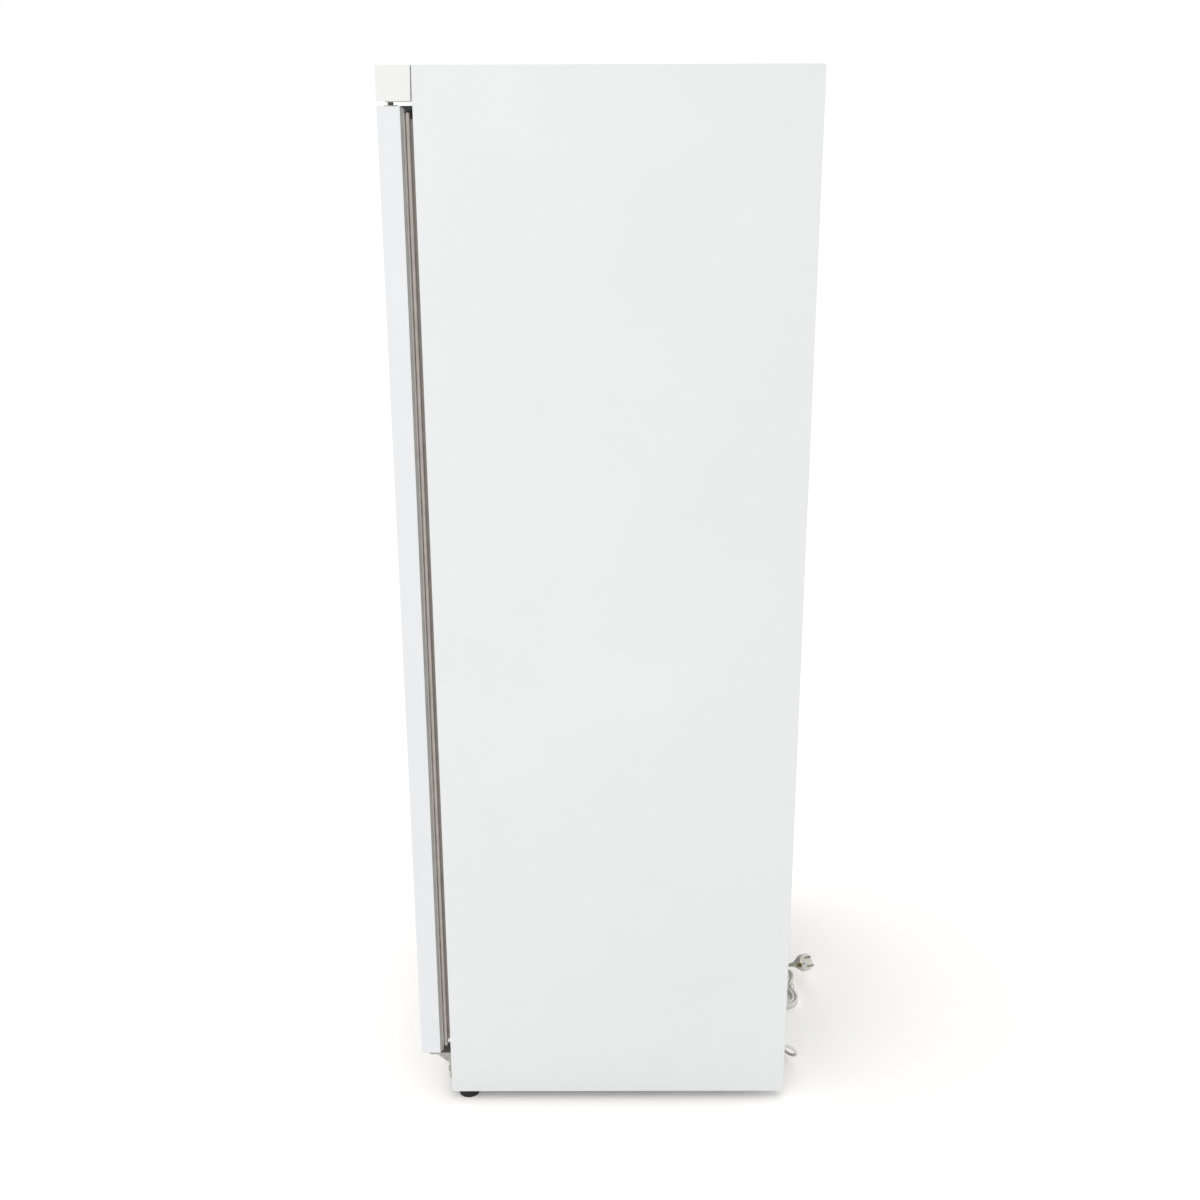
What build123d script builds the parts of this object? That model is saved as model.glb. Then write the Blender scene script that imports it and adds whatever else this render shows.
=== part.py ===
from build123d import *
import math
import os

# Upright single-door refrigerator, in millimetres.
# Z is up, the door faces -Y, the hinges are on the +X side.
# The origin is on the floor, under the middle of the door front, the back edge and the two sides.

# Cabinet
cabinet_width = 777.0
cabinet_depth = 643.0
cabinet_height = 1878.0
foot_height = 17.0
sheet = 1.0
fold_radius = 2.0
front_flange = 46.5
rear_flange = 28.0
top_lip = 45.0
fit = 0.3
hole_fit = 0.06

# Room inside
side_wall = 55.0
ceiling_wall = 100.0
back_wall = 50.0
condenser_recess = 45.0
liner_sheet = 2.0
floor_height = 150.0
step_height = 330.0
step_depth = 172.5
liner_corner = 18.0

# Machine compartment
machine_depth = 227.5
machine_top = 290.0
tray_height = 40.0
tray_sheet = 2.0
tray_lip = 30.0
base_sheet = 1.5
base_depth = 42.0

# Door
door_projection = 56.0
door_bottom = 105.0
door_gap = 7.7
door_thickness = 36.5
door_frame_thickness = 5.0
door_frame_inset = 1.5
door_frame_rounding = 4.5
bulge_gap = 8.5
bulge_depth = 24.5
door_liner_sheet = 2.0

# Door seal, each pair is how far its ring lies in from the door's edge, outside then inside
seal_base = (10.0, 24.0)
seal_neck = (14.0, 22.0)
seal_bellows = (9.5, 26.0)
seal_nose = (19.5, 33.0)
seal_base_depth = 1.2
seal_neck_depth = 1.2
seal_nose_depth = 6.2
seal_rounding = 1.8
seal_dart_width = 3.0
seal_dart_depth = 3.2
seal_gap = 0.4

# Canopy over the door
canopy_height = 53.0
canopy_wall = 2.5
canopy_gap_top = 1.0
canopy_gap_bottom = 2.6
canopy_tab_width = 36.0
canopy_tab_height = 22.0
canopy_tab_from_side = 88.5
canopy_tab_from_middle = 110.0

# Controller in the canopy
controller_width = 71.0
controller_height = 28.6
controller_depth = 40.0
controller_middle = 0.0
controller_gap = 0.4
button_width = 7.0
button_height = 5.0
button_length = 6.0
button_travel = 0.8
button_pitch = 9.5
button_first = 9.0
button_names = ("button_set", "button_down", "button_up")

# Hinges
pin_inset = 22.0
pin_from_front = 19.5
pin_diameter = 9.0
pin_fit = 0.08
hinge_plate = 3.5
hinge_width = 35.0
hinge_nose = 6.5
top_hinge_drop = 1.5
top_hinge_rise = 46.0
bottom_hinge_gap = 3.3
bottom_flange_low = 44.6
gusset_run = 26.0
gusset_drop = 22.0
bush_diameter = 15.0
bush_flange = 21.0
bush_flange_thickness = 1.4
bush_length = 16.0
washer_diameter = 21.0
screw_head_diameter = 11.0
screw_head_height = 4.2
screw_shank = 5.0
screw_length = 12.0
bottom_screw_heights = (84.0, 55.0)
top_screw_rises = (16.0, 36.0)

# Grip sunk into the door
grip_from_edge = 10.5
grip_width = 44.0
grip_height = 260.0
grip_middle = 1000.0
grip_depth = 25.0
grip_wall = 2.5
grip_lip = 14.0

# Lock in the door
lock_from_edge = 43.5
lock_below_top = 22.0
lock_housing_diameter = 20.0
lock_housing_length = 21.0
lock_barrel_diameter = 14.0
lock_barrel_sink = 0.6
keyway_width = 2.2
keyway_height = 8.0
keyway_depth = 6.0
cam_reach = 36.0
cam_width = 12.0
cam_thickness = 3.0
cam_room = 1.2

# Shelves
ladder_width = 22.0
ladder_thickness = 8.0
ladder_wall = 1.5
ladder_from_front = 93.5
ladder_from_back = 72.5
ladder_from_step = 15.0
ladder_from_ceiling = 50.0
slot_pitch = 22.0
slot_width = 12.0
slot_height = 5.0
shelf_count = 4
shelf_first_slot = 1
shelf_front_gap = 24.0
shelf_back_gap = 10.0
shelf_side_gap = 4.0
shelf_corner = 16.0
shelf_frame_diameter = 6.0
shelf_wire_diameter = 3.5
shelf_wire_pitch = 25.0
shelf_wire_sink = 0.6
shelf_cross_places = (0.3, 0.7)
clip_reach = 12.0
clip_width = 11.0
clip_height = 24.0
clip_sheet = 2.0

# Evaporator, its cover and its fan
cover_width = 540.0
cover_depth = 102.0
cover_height = 230.0
cover_sheet = 1.5
fan_opening = 150.0
guard_ring_width = 2.4
guard_ring_pitch = 15.0
guard_spoke_width = 4.0
intake_slot_count = 13
intake_slot_width = 20.0
intake_slot_height = 5.0
fin_count = 37
fin_pitch = 12.0
fin_thickness = 0.8
fin_depth = 38.0
fin_height = 150.0
coil_diameter = 8.0
coil_passes = 5
coil_pitch = 30.0
coil_gap = 0.05
coil_overhang = 8.0
fan_diameter = 140.0
fan_hub_diameter = 26.0
fan_hub_length = 16.0
fan_blade_count = 5
fan_blade_width = 36.0
fan_blade_thickness = 1.6
fan_blade_pitch = 28.0
fan_from_cover = 5.0
motor_diameter = 54.0
motor_length = 28.0
motor_gap = 4.0
motor_shaft = 5.0
motor_arm = 8.0
motor_post = 11.0

# Drain
gutter_height = 18.0
gutter_sheet = 1.5
drain_place = -130.0
drain_diameter = 16.0
drain_wall = 1.5
drain_bend = 20.0
drain_drop = 16.0

# Light under the ceiling, with the door switch in its front
light_width = 300.0
light_depth = 46.0
light_height = 22.0
light_wall = 2.0
light_gap_to_door = 9.0
diffuser_height = 12.0
diffuser_wall = 1.5
plunger_diameter = 7.0
plunger_place = 120.0
plunger_inside = 18.0
plunger_travel = 5.0
plunger_boss = 14.0

# Condenser on the back
condenser_width = 530.0
condenser_tube = 5.0
condenser_runs = 25
condenser_pitch = 52.0
condenser_bottom = 420.0
condenser_riser_gap = 30.0
wire_size = 1.6
wire_pitch = 12.0
wire_overhang = 14.0
bracket_sheet = 1.5
bracket_height = 20.0
bracket_grip = 22.0
bracket_places = (0.08, 0.5, 0.92)

# Compressor and what is round it
compressor_middle = -110.0
compressor_from_rear = 111.5
compressor_length = 196.0
compressor_depth = 148.0
compressor_height = 166.0
compressor_rounding = 44.0
compressor_seam = 3.0
foot_plate_length = 200.0
foot_plate_depth = 150.0
foot_plate_sheet = 3.0
grommet_diameter = 24.0
grommet_height = 15.0
grommet_neck = 13.0
grommet_inset = 14.0
terminal_width = 46.0
terminal_depth = 70.0
terminal_height = 66.0
tray_pan_length = 200.0
tray_pan_depth = 130.0
tray_pan_height = 30.0
tray_pan_wall = 2.0
pipe_diameter = 6.0
pipe_bend = 16.0
drier_diameter = 19.0
drier_length = 90.0
drier_cone = 14.0

# Feet and rollers
foot_diameter = 39.0
foot_rim = 11.0
foot_neck = 24.0
stud_diameter = 10.0
stud_length = 32.0
socket_diameter = 20.0
foot_from_side = 22.5
foot_from_front = 31.5
roller_diameter = 36.0
roller_width = 20.0
roller_from_side = 58.0
roller_from_rear = 50.0
roller_rounding = 2.0
axle_diameter = 6.0
axle_head_diameter = 10.0
axle_head = 2.0
cheek_sheet = 2.0
cheek_gap = 0.4
cheek_width = 22.0

# Mains cord, with the route's middle distance measured behind the cabinet
cord_diameter = 6.6
gland_place = 300.0
gland_height = 56.0
gland_flange = 16.0
gland_relief = 9.0
floor_gap = 1.4
hank_place = 18.0
hank_from_rear = 37.0
hank_half_length = 42.0
hank_half_width = 33.0
hank_runs = 9
hank_step = 7.6
hank_layer = 7.1
hank_waist = 8.0
tie_width = 5.0
tie_thickness = 1.0
tie_gap = 0.3
gland_run = 10.0
hank_run = 24.0
tail_run = 10.0
lead_route = (
    (299.4, 28.4, 51.3),
    (297.1, 34.9, 42.0),
    (291.7, 36.4, 31.3),
    (282.6, 33.6, 22.6),
    (270.2, 28.4, 15.0),
    (254.4, 22.3, 9.8),
    (234.0, 15.2, 6.4),
    (207.0, 9.0, 4.8),
    (175.0, 6.0, 4.7),
    (139.0, 4.4, 4.8),
    (114.0, 4.2, 4.8),
)
tail_route = (
    (-56.1, 7.4, 7.2),
    (-68.6, 19.0, 5.2),
    (-73.0, 37.0, 4.5),
    (-70.6, 51.6, 5.9),
)

# Plug
plug_place = (-21.6, 97.4, 46.5)
plug_heading = (0.648, 0.532, 0.545)
plug_diameter = 37.0
plug_rim_length = 15.0
plug_length = 37.0
plug_neck = 17.0
plug_relief = 21.0
plug_relief_diameter = 12.0
plug_pin_diameter = 4.8
plug_pin_length = 19.0
plug_pin_spacing = 19.0
earth_slot_width = 8.0
earth_slot_depth = 3.5
earth_hole_diameter = 5.0
earth_hole_depth = 16.0
earth_hole_offset = 10.0

# Places that follow from the sizes above
half_width = cabinet_width / 2
door_front = -(cabinet_depth + door_projection) / 2
front = door_front + door_projection
rear = front + cabinet_depth
bottom = foot_height
top = foot_height + cabinet_height
flange_edge = half_width - front_flange
cavity_side = half_width - side_wall
cavity_top = top - ceiling_wall
cavity_back = rear - condenser_recess - back_wall
panel_back = rear - condenser_recess
step_front = cavity_back - step_depth
machine_front = rear - machine_depth
liner_lip = flange_edge - cavity_side
door_back = door_front + door_thickness
frame_back = door_back + door_frame_thickness
bulge_back = frame_back + bulge_depth
pin_x = half_width - pin_inset
pin_y = door_front + pin_from_front
canopy_top = top
canopy_bottom = top - canopy_height
door_top = canopy_bottom - door_gap
cover_front = cavity_back - cover_depth
cover_bottom = cavity_top - cover_height
drain_line = (cavity_back + panel_back) / 2
base_top = bottom + base_depth
lock_x = -half_width + lock_from_edge
lock_z = door_top - lock_below_top
cam_front = door_front + lock_housing_length + fit
tray_top = tray_height + tray_sheet
compressor_place = (compressor_middle, rear - compressor_from_rear)
ladder_places = (front + ladder_from_front, cavity_back - ladder_from_back)
ladder_bottom = step_height + ladder_from_step
ladder_top = cavity_top - ladder_from_ceiling
shelf_slot_step = int((ladder_top - ladder_bottom) / (shelf_count + 0.5) / slot_pitch)
hank_middle = (hank_place, rear + hank_from_rear)
plug_face = (plug_place[0], rear + plug_place[1], plug_place[2])


def block(x, y, z):
    """A box between pairs of limits."""
    size = (x[1] - x[0], y[1] - y[0], z[1] - z[0])
    middle = ((x[0] + x[1]) / 2, (y[0] + y[1]) / 2, (z[0] + z[1]) / 2)
    return Pos(*middle) * Box(*size)


def around(middle, width):
    """The limits of a width about its middle."""
    return (middle - width / 2, middle + width / 2)


def rod(start, end, diameter):
    """A round bar from one point to another."""
    line = Vector(*end) - Vector(*start)
    plane = Plane(origin=start, z_dir=line)
    return plane * Cylinder(diameter / 2, line.length, align=(Align.CENTER, Align.CENTER, Align.MIN))


def cone(start, end, start_diameter, end_diameter):
    """A round taper from one point to another."""
    line = Vector(*end) - Vector(*start)
    plane = Plane(origin=start, z_dir=line)
    low = (Align.CENTER, Align.CENTER, Align.MIN)
    return plane * Cone(start_diameter / 2, end_diameter / 2, line.length, align=low)


def ring(outer, inner, y):
    """A flat frame between two rectangles, each given as (x limits, z limits)."""
    return block(outer[0], y, outer[1]) - block(inner[0], y, inner[1])


def door_rectangle(inset):
    """The door's outline drawn in by a distance."""
    return (
        (-half_width + inset, half_width - inset),
        (door_bottom + inset, door_top - inset),
    )


def tube(points, diameter, radii):
    """A round tube along straight runs joined by tangent arcs."""
    path = FilletPolyline(*points, radius=radii)
    start = Plane(origin=path @ 0, z_dir=path % 0)
    return sweep(start * Circle(diameter / 2), path=path), path


def pipe(points, diameter, bend):
    """A tube with the same bend at each corner."""
    return tube(points, diameter, [bend] * (len(points) - 2))[0]


def cord_radii(points):
    """The largest arc that each corner's two runs allow."""
    radii = []
    for before, corner, after in zip(points, points[1:], points[2:]):
        arrive = Vector(*corner) - Vector(*before)
        leave = Vector(*after) - Vector(*corner)
        half_turn = math.radians(arrive.get_angle(leave)) / 2
        radii.append(0.45 * min(arrive.length, leave.length) / math.tan(half_turn))
    return radii


def mirrored(shape):
    """The same piece on the other side."""
    return mirror(shape, about=Plane.YZ)


def save(name, *pieces):
    """Writes one sub-part, of one solid or of a group of them."""
    shape = pieces[0] if len(pieces) == 1 else Compound(children=list(pieces))
    export_step(shape, f"parts/{name}.step")


# Outer panels
def side_panel():
    """Folded sheet with a flange round the front and a narrow one at the back."""
    panel = block((half_width - sheet, half_width), (front, rear), (bottom, top))
    panel += block((flange_edge, half_width), (front, front + sheet), (bottom, top))
    panel += block((half_width - rear_flange, half_width), (rear - sheet, rear), (bottom, top))
    outside = panel.edges().filter_by(Axis.Z).group_by(Axis.X)[-1]
    return fillet(outside, fold_radius)


def top_panel():
    inside = half_width - sheet
    lip_side = half_width - rear_flange
    panel = block((-inside, inside), (front + sheet, rear - sheet), (top - sheet, top))
    panel += block((-lip_side, lip_side), (rear - sheet, rear), (top - top_lip, top))
    return panel


def rear_panel():
    """Back sheet that folds forward over the machine compartment and down its front."""
    inside = half_width - sheet
    panel = block((-inside, inside), (panel_back, panel_back + sheet), (machine_top, top - sheet))
    panel += block((-inside, inside), (machine_front, panel_back + sheet), (machine_top, machine_top + sheet))
    panel += block((-inside, inside), (machine_front - sheet, machine_front), (base_top, machine_top + sheet))
    return panel - drain_bore(hole_fit)


def front_top_rail():
    return block((-flange_edge, flange_edge), (front, front + sheet), (cavity_top + liner_lip, top))


def front_plinth():
    return block((-flange_edge, flange_edge), (front, front + sheet), (bottom, floor_height - liner_lip))


# Room, insulation and drain
def cavity(grow):
    """The storage room with its step over the machine compartment, grown on all sides but the front."""
    side = (-cavity_side - grow, cavity_side + grow)
    lower = block(side, (front, step_front + grow), (floor_height - grow, cavity_top + grow))
    upper = block(side, (front, cavity_back + grow), (step_height - grow, cavity_top + grow))
    room = lower + upper
    back_edges = room.edges().filter_by(Axis.Z).group_by(Axis.Y)[-1]
    return fillet(back_edges, liner_corner + grow)


def inner_liner():
    shell = cavity(liner_sheet)
    lip_z = (floor_height - liner_lip, cavity_top + liner_lip)
    shell += block((-flange_edge, flange_edge), (front, front + liner_sheet), lip_z)
    return shell - cavity(0) - drain_bore(hole_fit)


def drain_path():
    return (
        (drain_place, cavity_back - gutter_sheet - fit - drain_wall, drain_height()),
        (drain_place, drain_line, drain_height()),
        (drain_place, drain_line, machine_top - drain_drop),
    )


def drain_height():
    return cover_bottom + cover_sheet + gutter_sheet + drain_diameter / 2


def drain_bore(gap):
    return pipe(drain_path(), drain_diameter + 2 * gap, drain_bend)


def insulation():
    """Foam boards between the panels and the liner."""
    outside = half_width - sheet
    inside = cavity_side + liner_sheet
    face = front + sheet
    over_machine = machine_top + sheet
    under_top = top - sheet
    machine_face = machine_front - sheet
    behind_liner = cavity_back + liner_sheet
    ceiling = cavity_top + liner_sheet
    lip_back = front + liner_sheet
    boards = []
    for side in ((-outside, -inside), (inside, outside)):
        boards.append(block(side, (lip_back, panel_back), (over_machine, under_top)))
        boards.append(block(side, (lip_back, machine_face), (base_top, over_machine)))
    across = (-inside, inside)
    boards.append(block(across, (lip_back, panel_back), (ceiling, under_top)))
    back = block(across, (behind_liner, panel_back), (over_machine, ceiling))
    boards.append(back - drain_bore(hole_fit))
    step_back = step_front + liner_sheet
    boards.append(block(across, (step_back, behind_liner), (over_machine, step_height - liner_sheet)))
    boards.append(block(across, (step_back, machine_face), (base_top, over_machine)))
    boards.append(block(across, (lip_back, step_back), (base_top, floor_height - liner_sheet)))
    return boards


def drain():
    """Gutter under the coil and the tube that takes the water down to the evaporation pan."""
    side = fin_pitch * (fin_count - 1) / 2 + coil_overhang
    gutter_z = (cover_bottom + cover_sheet, cover_bottom + cover_sheet + gutter_height)
    gutter_y = (cavity_back - fin_depth - coil_overhang, cavity_back)
    gutter = block((-side, side), gutter_y, gutter_z)
    inner_y = (gutter_y[0] + gutter_sheet, gutter_y[1] - gutter_sheet)
    inner_x = (-side + gutter_sheet, side - gutter_sheet)
    gutter -= block(inner_x, inner_y, (gutter_z[0] + gutter_sheet, gutter_z[1]))
    gutter -= drain_bore(hole_fit)
    outer = drain_bore(0)
    bore = drain_bore(-drain_wall)
    return gutter, outer - bore


# Base
def base_frame():
    """Pan turned upside down under the floor, with threaded sockets for the feet."""
    side = half_width - sheet
    y = (front + sheet, machine_front)
    frame = block((-side, side), y, (bottom, base_top))
    inner_y = (y[0] + base_sheet, y[1] - base_sheet)
    frame -= block((-side + base_sheet, side - base_sheet), inner_y, (bottom, base_top - base_sheet))
    for x in (-foot_x(), foot_x()):
        frame += rod((x, foot_y(), bottom), (x, foot_y(), base_top - base_sheet), socket_diameter)
        thread_top = bottom + stud_length + fit
        frame -= rod((x, foot_y(), bottom), (x, foot_y(), thread_top), stud_diameter + 2 * hole_fit)
    return frame


def foot_x():
    return half_width - foot_from_side


def foot_y():
    return front + foot_from_front


def front_foot(x):
    """Moulded pad on a steel stud, screwed in as far as it goes."""
    y = foot_y()
    pad = rod((x, y, 0), (x, y, foot_rim), foot_diameter)
    pad = chamfer(pad.edges().group_by(Axis.Z)[0], 1.0)
    pad += cone((x, y, foot_rim), (x, y, foot_height), foot_diameter, foot_neck)
    pad += rod((x, y, foot_height), (x, y, foot_height + stud_length), stud_diameter)
    return pad


def compressor_tray():
    """Galvanised tray between the side panels, under the compressor."""
    side = half_width - sheet
    y = (machine_front, rear - sheet)
    tray = block((-side, side), y, (tray_height, tray_top + tray_lip))
    inner_y = (y[0] + tray_sheet, y[1] - tray_sheet)
    tray -= block((-side + tray_sheet, side - tray_sheet), inner_y, (tray_top, tray_top + tray_lip))
    lip = ((gland_place, y[1] - 10, gland_height), (gland_place, y[1] + 10, gland_height))
    return tray - rod(lip[0], lip[1], cord_gland_bore())


def cord_gland_bore():
    return gland_flange - 4.0


def roller_x():
    return half_width - roller_from_side


def roller_y():
    return rear - roller_from_rear


def roller(x):
    y = roller_y()
    z = roller_diameter / 2
    half = roller_width / 2
    wheel = rod((x - half, y, z), (x + half, y, z), roller_diameter)
    wheel = fillet(wheel.edges(), roller_rounding)
    return wheel - rod((x - half, y, z), (x + half, y, z), axle_diameter + 2 * hole_fit)


def roller_bracket(x):
    """Two cheeks under a plate that is welded to the tray."""
    y = around(roller_y(), cheek_width)
    half = roller_width / 2 + cheek_gap
    plate_z = (tray_height - cheek_sheet, tray_height)
    bracket = block((x - half - cheek_sheet, x + half + cheek_sheet), y, plate_z)
    for low in (x - half - cheek_sheet, x + half):
        bracket += block((low, low + cheek_sheet), y, (axle_diameter, tray_height))
    z = roller_diameter / 2
    reach = half + cheek_sheet
    return bracket - rod((x - reach, roller_y(), z), (x + reach, roller_y(), z), axle_diameter + hole_fit)


def roller_axle(x):
    z = roller_diameter / 2
    y = roller_y()
    reach = roller_width / 2 + cheek_gap + cheek_sheet
    axle = rod((x - reach - axle_head, y, z), (x + reach + axle_head, y, z), axle_diameter)
    for side in (-1, 1):
        edge = x + side * reach
        axle += rod((edge, y, z), (edge + side * axle_head, y, z), axle_head_diameter)
    return axle


# Door
def bulge_rectangle(inset):
    side = cavity_side - bulge_gap - inset
    return ((-side, side), (floor_height + bulge_gap + inset, cavity_top - bulge_gap - inset))


def grip_x():
    low = -half_width + grip_from_edge
    return (low, low + grip_width)


def grip_z():
    return around(grip_middle, grip_height)


def door_skin():
    """Folded steel pan, open at the back, with cut-outs for the grip, the lock and the bushes."""
    edge = door_rectangle(0)
    inner = door_rectangle(sheet)
    skin = block(edge[0], (door_front, door_back), edge[1])
    corners = skin.edges().filter_by(Axis.Z).group_by(Axis.Y)[0]
    skin = fillet(corners, fold_radius)
    skin -= block(inner[0], (door_front + sheet, door_back), inner[1])
    skin -= block(grip_x(), (door_front, door_front + sheet), grip_z())
    skin -= rod((lock_x, door_front, lock_z), (lock_x, door_front + sheet, lock_z), lock_housing_diameter)
    for z in (door_bottom, door_top):
        skin -= rod((pin_x, pin_y, z - sheet), (pin_x, pin_y, z + sheet), bush_diameter)
    return skin - cam_space()


def cam_space():
    """Room for the lock's cam to swing up through the door's top edge."""
    y = (cam_front - cam_room, cam_front + cam_thickness + cam_room)
    reach = cam_reach + cam_room
    half = cam_width / 2 + cam_room
    swing = rod((lock_x, y[0], lock_z), (lock_x, y[1], lock_z), 2 * reach)
    swing &= block((lock_x - half, lock_x + reach), y, (lock_z - half, door_top))
    return swing


def door_insulation():
    edge = door_rectangle(sheet)
    foam = block(edge[0], (door_front + sheet, door_back), edge[1])
    bulge = bulge_rectangle(door_liner_sheet)
    foam += block(bulge[0], (door_back, bulge_back - door_liner_sheet), bulge[1])
    foam -= block(grip_x(), (door_front, door_front + grip_depth), grip_z())
    foam -= rod((lock_x, door_front, lock_z), (lock_x, cam_front, lock_z), lock_housing_diameter)
    foam -= rod((pin_x, pin_y, door_top - bush_length), (pin_x, pin_y, door_top), bush_diameter)
    foam -= rod((pin_x, pin_y, door_bottom), (pin_x, pin_y, door_bottom + bush_length), bush_diameter)
    return foam - cam_space()


def door_liner():
    """Moulded inner face: a frame with a rounded edge and the seal's groove, round a raised middle."""
    edge = door_rectangle(door_frame_inset)
    bulge = bulge_rectangle(0)
    liner = block(edge[0], (door_back, frame_back), edge[1])
    liner = fillet(liner.edges().group_by(Axis.Y)[-1], door_frame_rounding)
    raised = block(bulge[0], (door_back, bulge_back), bulge[1])
    raised = fillet(raised.edges().group_by(Axis.Y)[-1], door_liner_sheet * 2)
    liner += raised
    inner = bulge_rectangle(door_liner_sheet)
    liner -= block(inner[0], (door_back, bulge_back - door_liner_sheet), inner[1])
    groove = seal_dart_ring(fit)
    return liner - ring(groove[0], groove[1], (frame_back - seal_dart_depth - fit, frame_back))


def seal_dart_ring(gap):
    middle = (seal_neck[0] + seal_neck[1]) / 2
    half = seal_dart_width / 2 + gap
    return door_rectangle(middle - half), door_rectangle(middle + half)


def seal_section(limits, y):
    return ring(door_rectangle(limits[0]), door_rectangle(limits[1]), y)


def door_seal():
    """Magnetic seal: a dart in the liner's groove, a base, a neck, the bellows and the magnet's nose."""
    base_y = (frame_back, frame_back + seal_base_depth)
    neck_y = (base_y[1], base_y[1] + seal_neck_depth)
    nose_y = (front - seal_gap - seal_nose_depth, front - seal_gap)
    bellows = seal_section(seal_bellows, (neck_y[1], nose_y[0]))
    outside = door_rectangle(seal_bellows[0])
    bellows = fillet(ring_edges(bellows, outside), seal_rounding)
    nose = seal_section(seal_nose, nose_y)
    nose = fillet(ring_edges(nose, door_rectangle(seal_nose[0])).group_by(Axis.Y)[-1], seal_rounding / 2)
    dart = seal_dart_ring(0)
    seal = seal_section(seal_base, base_y)
    seal += seal_section(seal_neck, neck_y)
    seal += bellows
    seal += nose
    return seal + ring(dart[0], dart[1], (frame_back - seal_dart_depth, frame_back))


def ring_edges(shape, rectangle):
    """The edges along a ring's outer rectangle, without its short corner edges."""
    x_limit = rectangle[0][1] - 0.01
    low, high = rectangle[1][0] + 0.01, rectangle[1][1] - 0.01

    def lies_outside(edge):
        middle = edge.center()
        long_edge = edge.length > seal_nose[1]
        return long_edge and (abs(middle.X) > x_limit or middle.Z < low or middle.Z > high)

    return ShapeList(edge for edge in shape.edges() if lies_outside(edge))


def door_grip():
    """Moulded pocket, with a lip along the edge side for the fingers to pull on."""
    x = grip_x()
    z = grip_z()
    cup = block(x, (door_front, door_front + grip_depth), z)
    inner_x = (x[0] + grip_wall, x[1] - grip_wall)
    inner_z = (z[0] + grip_wall, z[1] - grip_wall)
    cup -= block(inner_x, (door_front + grip_wall, door_front + grip_depth - grip_wall), inner_z)
    mouth = block((x[0] + grip_lip, x[1] - grip_wall), (door_front, door_front + grip_wall), inner_z)
    cup -= mouth
    lip_x = around(x[0] + grip_lip, 0.2)
    lip = cup.edges().filter_by(Axis.Z).filter_by_position(Axis.X, lip_x[0], lip_x[1])
    return fillet(lip, grip_wall * 0.4)


def lock_housing():
    housing = rod(
        (lock_x, door_front, lock_z),
        (lock_x, door_front + lock_housing_length, lock_z),
        lock_housing_diameter,
    )
    bore = rod(
        (lock_x, door_front, lock_z),
        (lock_x, door_front + lock_housing_length, lock_z),
        lock_barrel_diameter + 2 * hole_fit,
    )
    return housing - bore


def lock_barrel():
    """Barrel with a keyway and, behind the housing, the cam that locks into the canopy."""
    face = door_front + lock_barrel_sink
    barrel = rod((lock_x, face, lock_z), (lock_x, cam_front, lock_z), lock_barrel_diameter)
    key_x = around(lock_x, keyway_height)
    barrel -= block(key_x, (face, face + keyway_depth), around(lock_z, keyway_width))
    y = (cam_front, cam_front + cam_thickness)
    half = cam_width / 2
    cam = rod((lock_x, y[0], lock_z), (lock_x, y[1], lock_z), cam_width)
    blade = block((lock_x, lock_x + cam_reach), y, (lock_z - half, lock_z + half))
    tip = blade.edges().filter_by(Axis.Y).group_by(Axis.X)[-1]
    cam += fillet(tip, half * 0.9)
    return barrel + cam


def hinge_bush(low, high, flange_low, flange_high, flange_diameter):
    bush = rod((pin_x, pin_y, low), (pin_x, pin_y, high), bush_diameter)
    bush += rod((pin_x, pin_y, flange_low), (pin_x, pin_y, flange_high), flange_diameter)
    ends = (min(low, flange_low), max(high, flange_high))
    return bush - rod((pin_x, pin_y, ends[0]), (pin_x, pin_y, ends[1]), pin_diameter + 2 * pin_fit)


def hinge_bushes():
    over = door_top + bush_flange_thickness
    under = door_bottom - bottom_hinge_gap + fit
    upper = hinge_bush(door_top - bush_length, door_top, door_top, over, bush_flange)
    lower = hinge_bush(door_bottom, door_bottom + bush_length, under, door_bottom, washer_diameter)
    return upper, lower


# Hinges
def hinge_plate_shape(low):
    """Flat arm from the cabinet's front to round the pin."""
    x = around(pin_x, hinge_width)
    arm = block(x, (pin_y - hinge_nose, front), (low, low + hinge_plate))
    corners = arm.edges().filter_by(Axis.Z).group_by(Axis.Y)[0]
    return fillet(corners, hinge_nose)


def top_hinge():
    low = canopy_bottom - top_hinge_drop
    high = low + hinge_plate
    x = around(pin_x, hinge_width)
    hinge = hinge_plate_shape(low)
    hinge += block(x, (front - hinge_plate, front), (low, low + top_hinge_rise))
    hinge += rod((pin_x, pin_y, door_top - bush_length + fit), (pin_x, pin_y, high), pin_diameter)
    for rise in top_screw_rises:
        hinge -= screw_hole(low + rise)
    return hinge


def bottom_hinge():
    high = door_bottom - bottom_hinge_gap
    low = high - hinge_plate
    x = around(pin_x, hinge_width)
    hinge = hinge_plate_shape(low)
    hinge += block(x, (front - hinge_plate, front), (bottom_flange_low, high))
    hinge += rod((pin_x, pin_y, low), (pin_x, pin_y, door_bottom + bush_length - fit), pin_diameter)
    rib = Polyline(
        (x[1], front, low), (x[1], front - gusset_run, low), (x[1], front, low - gusset_drop), close=True
    )
    hinge += extrude(make_face(rib), amount=hinge_plate, dir=(-1, 0, 0))
    for height in bottom_screw_heights:
        hinge -= screw_hole(height)
    return hinge


def screw_hole(z):
    return rod((pin_x, front - hinge_plate, z), (pin_x, front, z), screw_shank + 2 * hole_fit)


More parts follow.
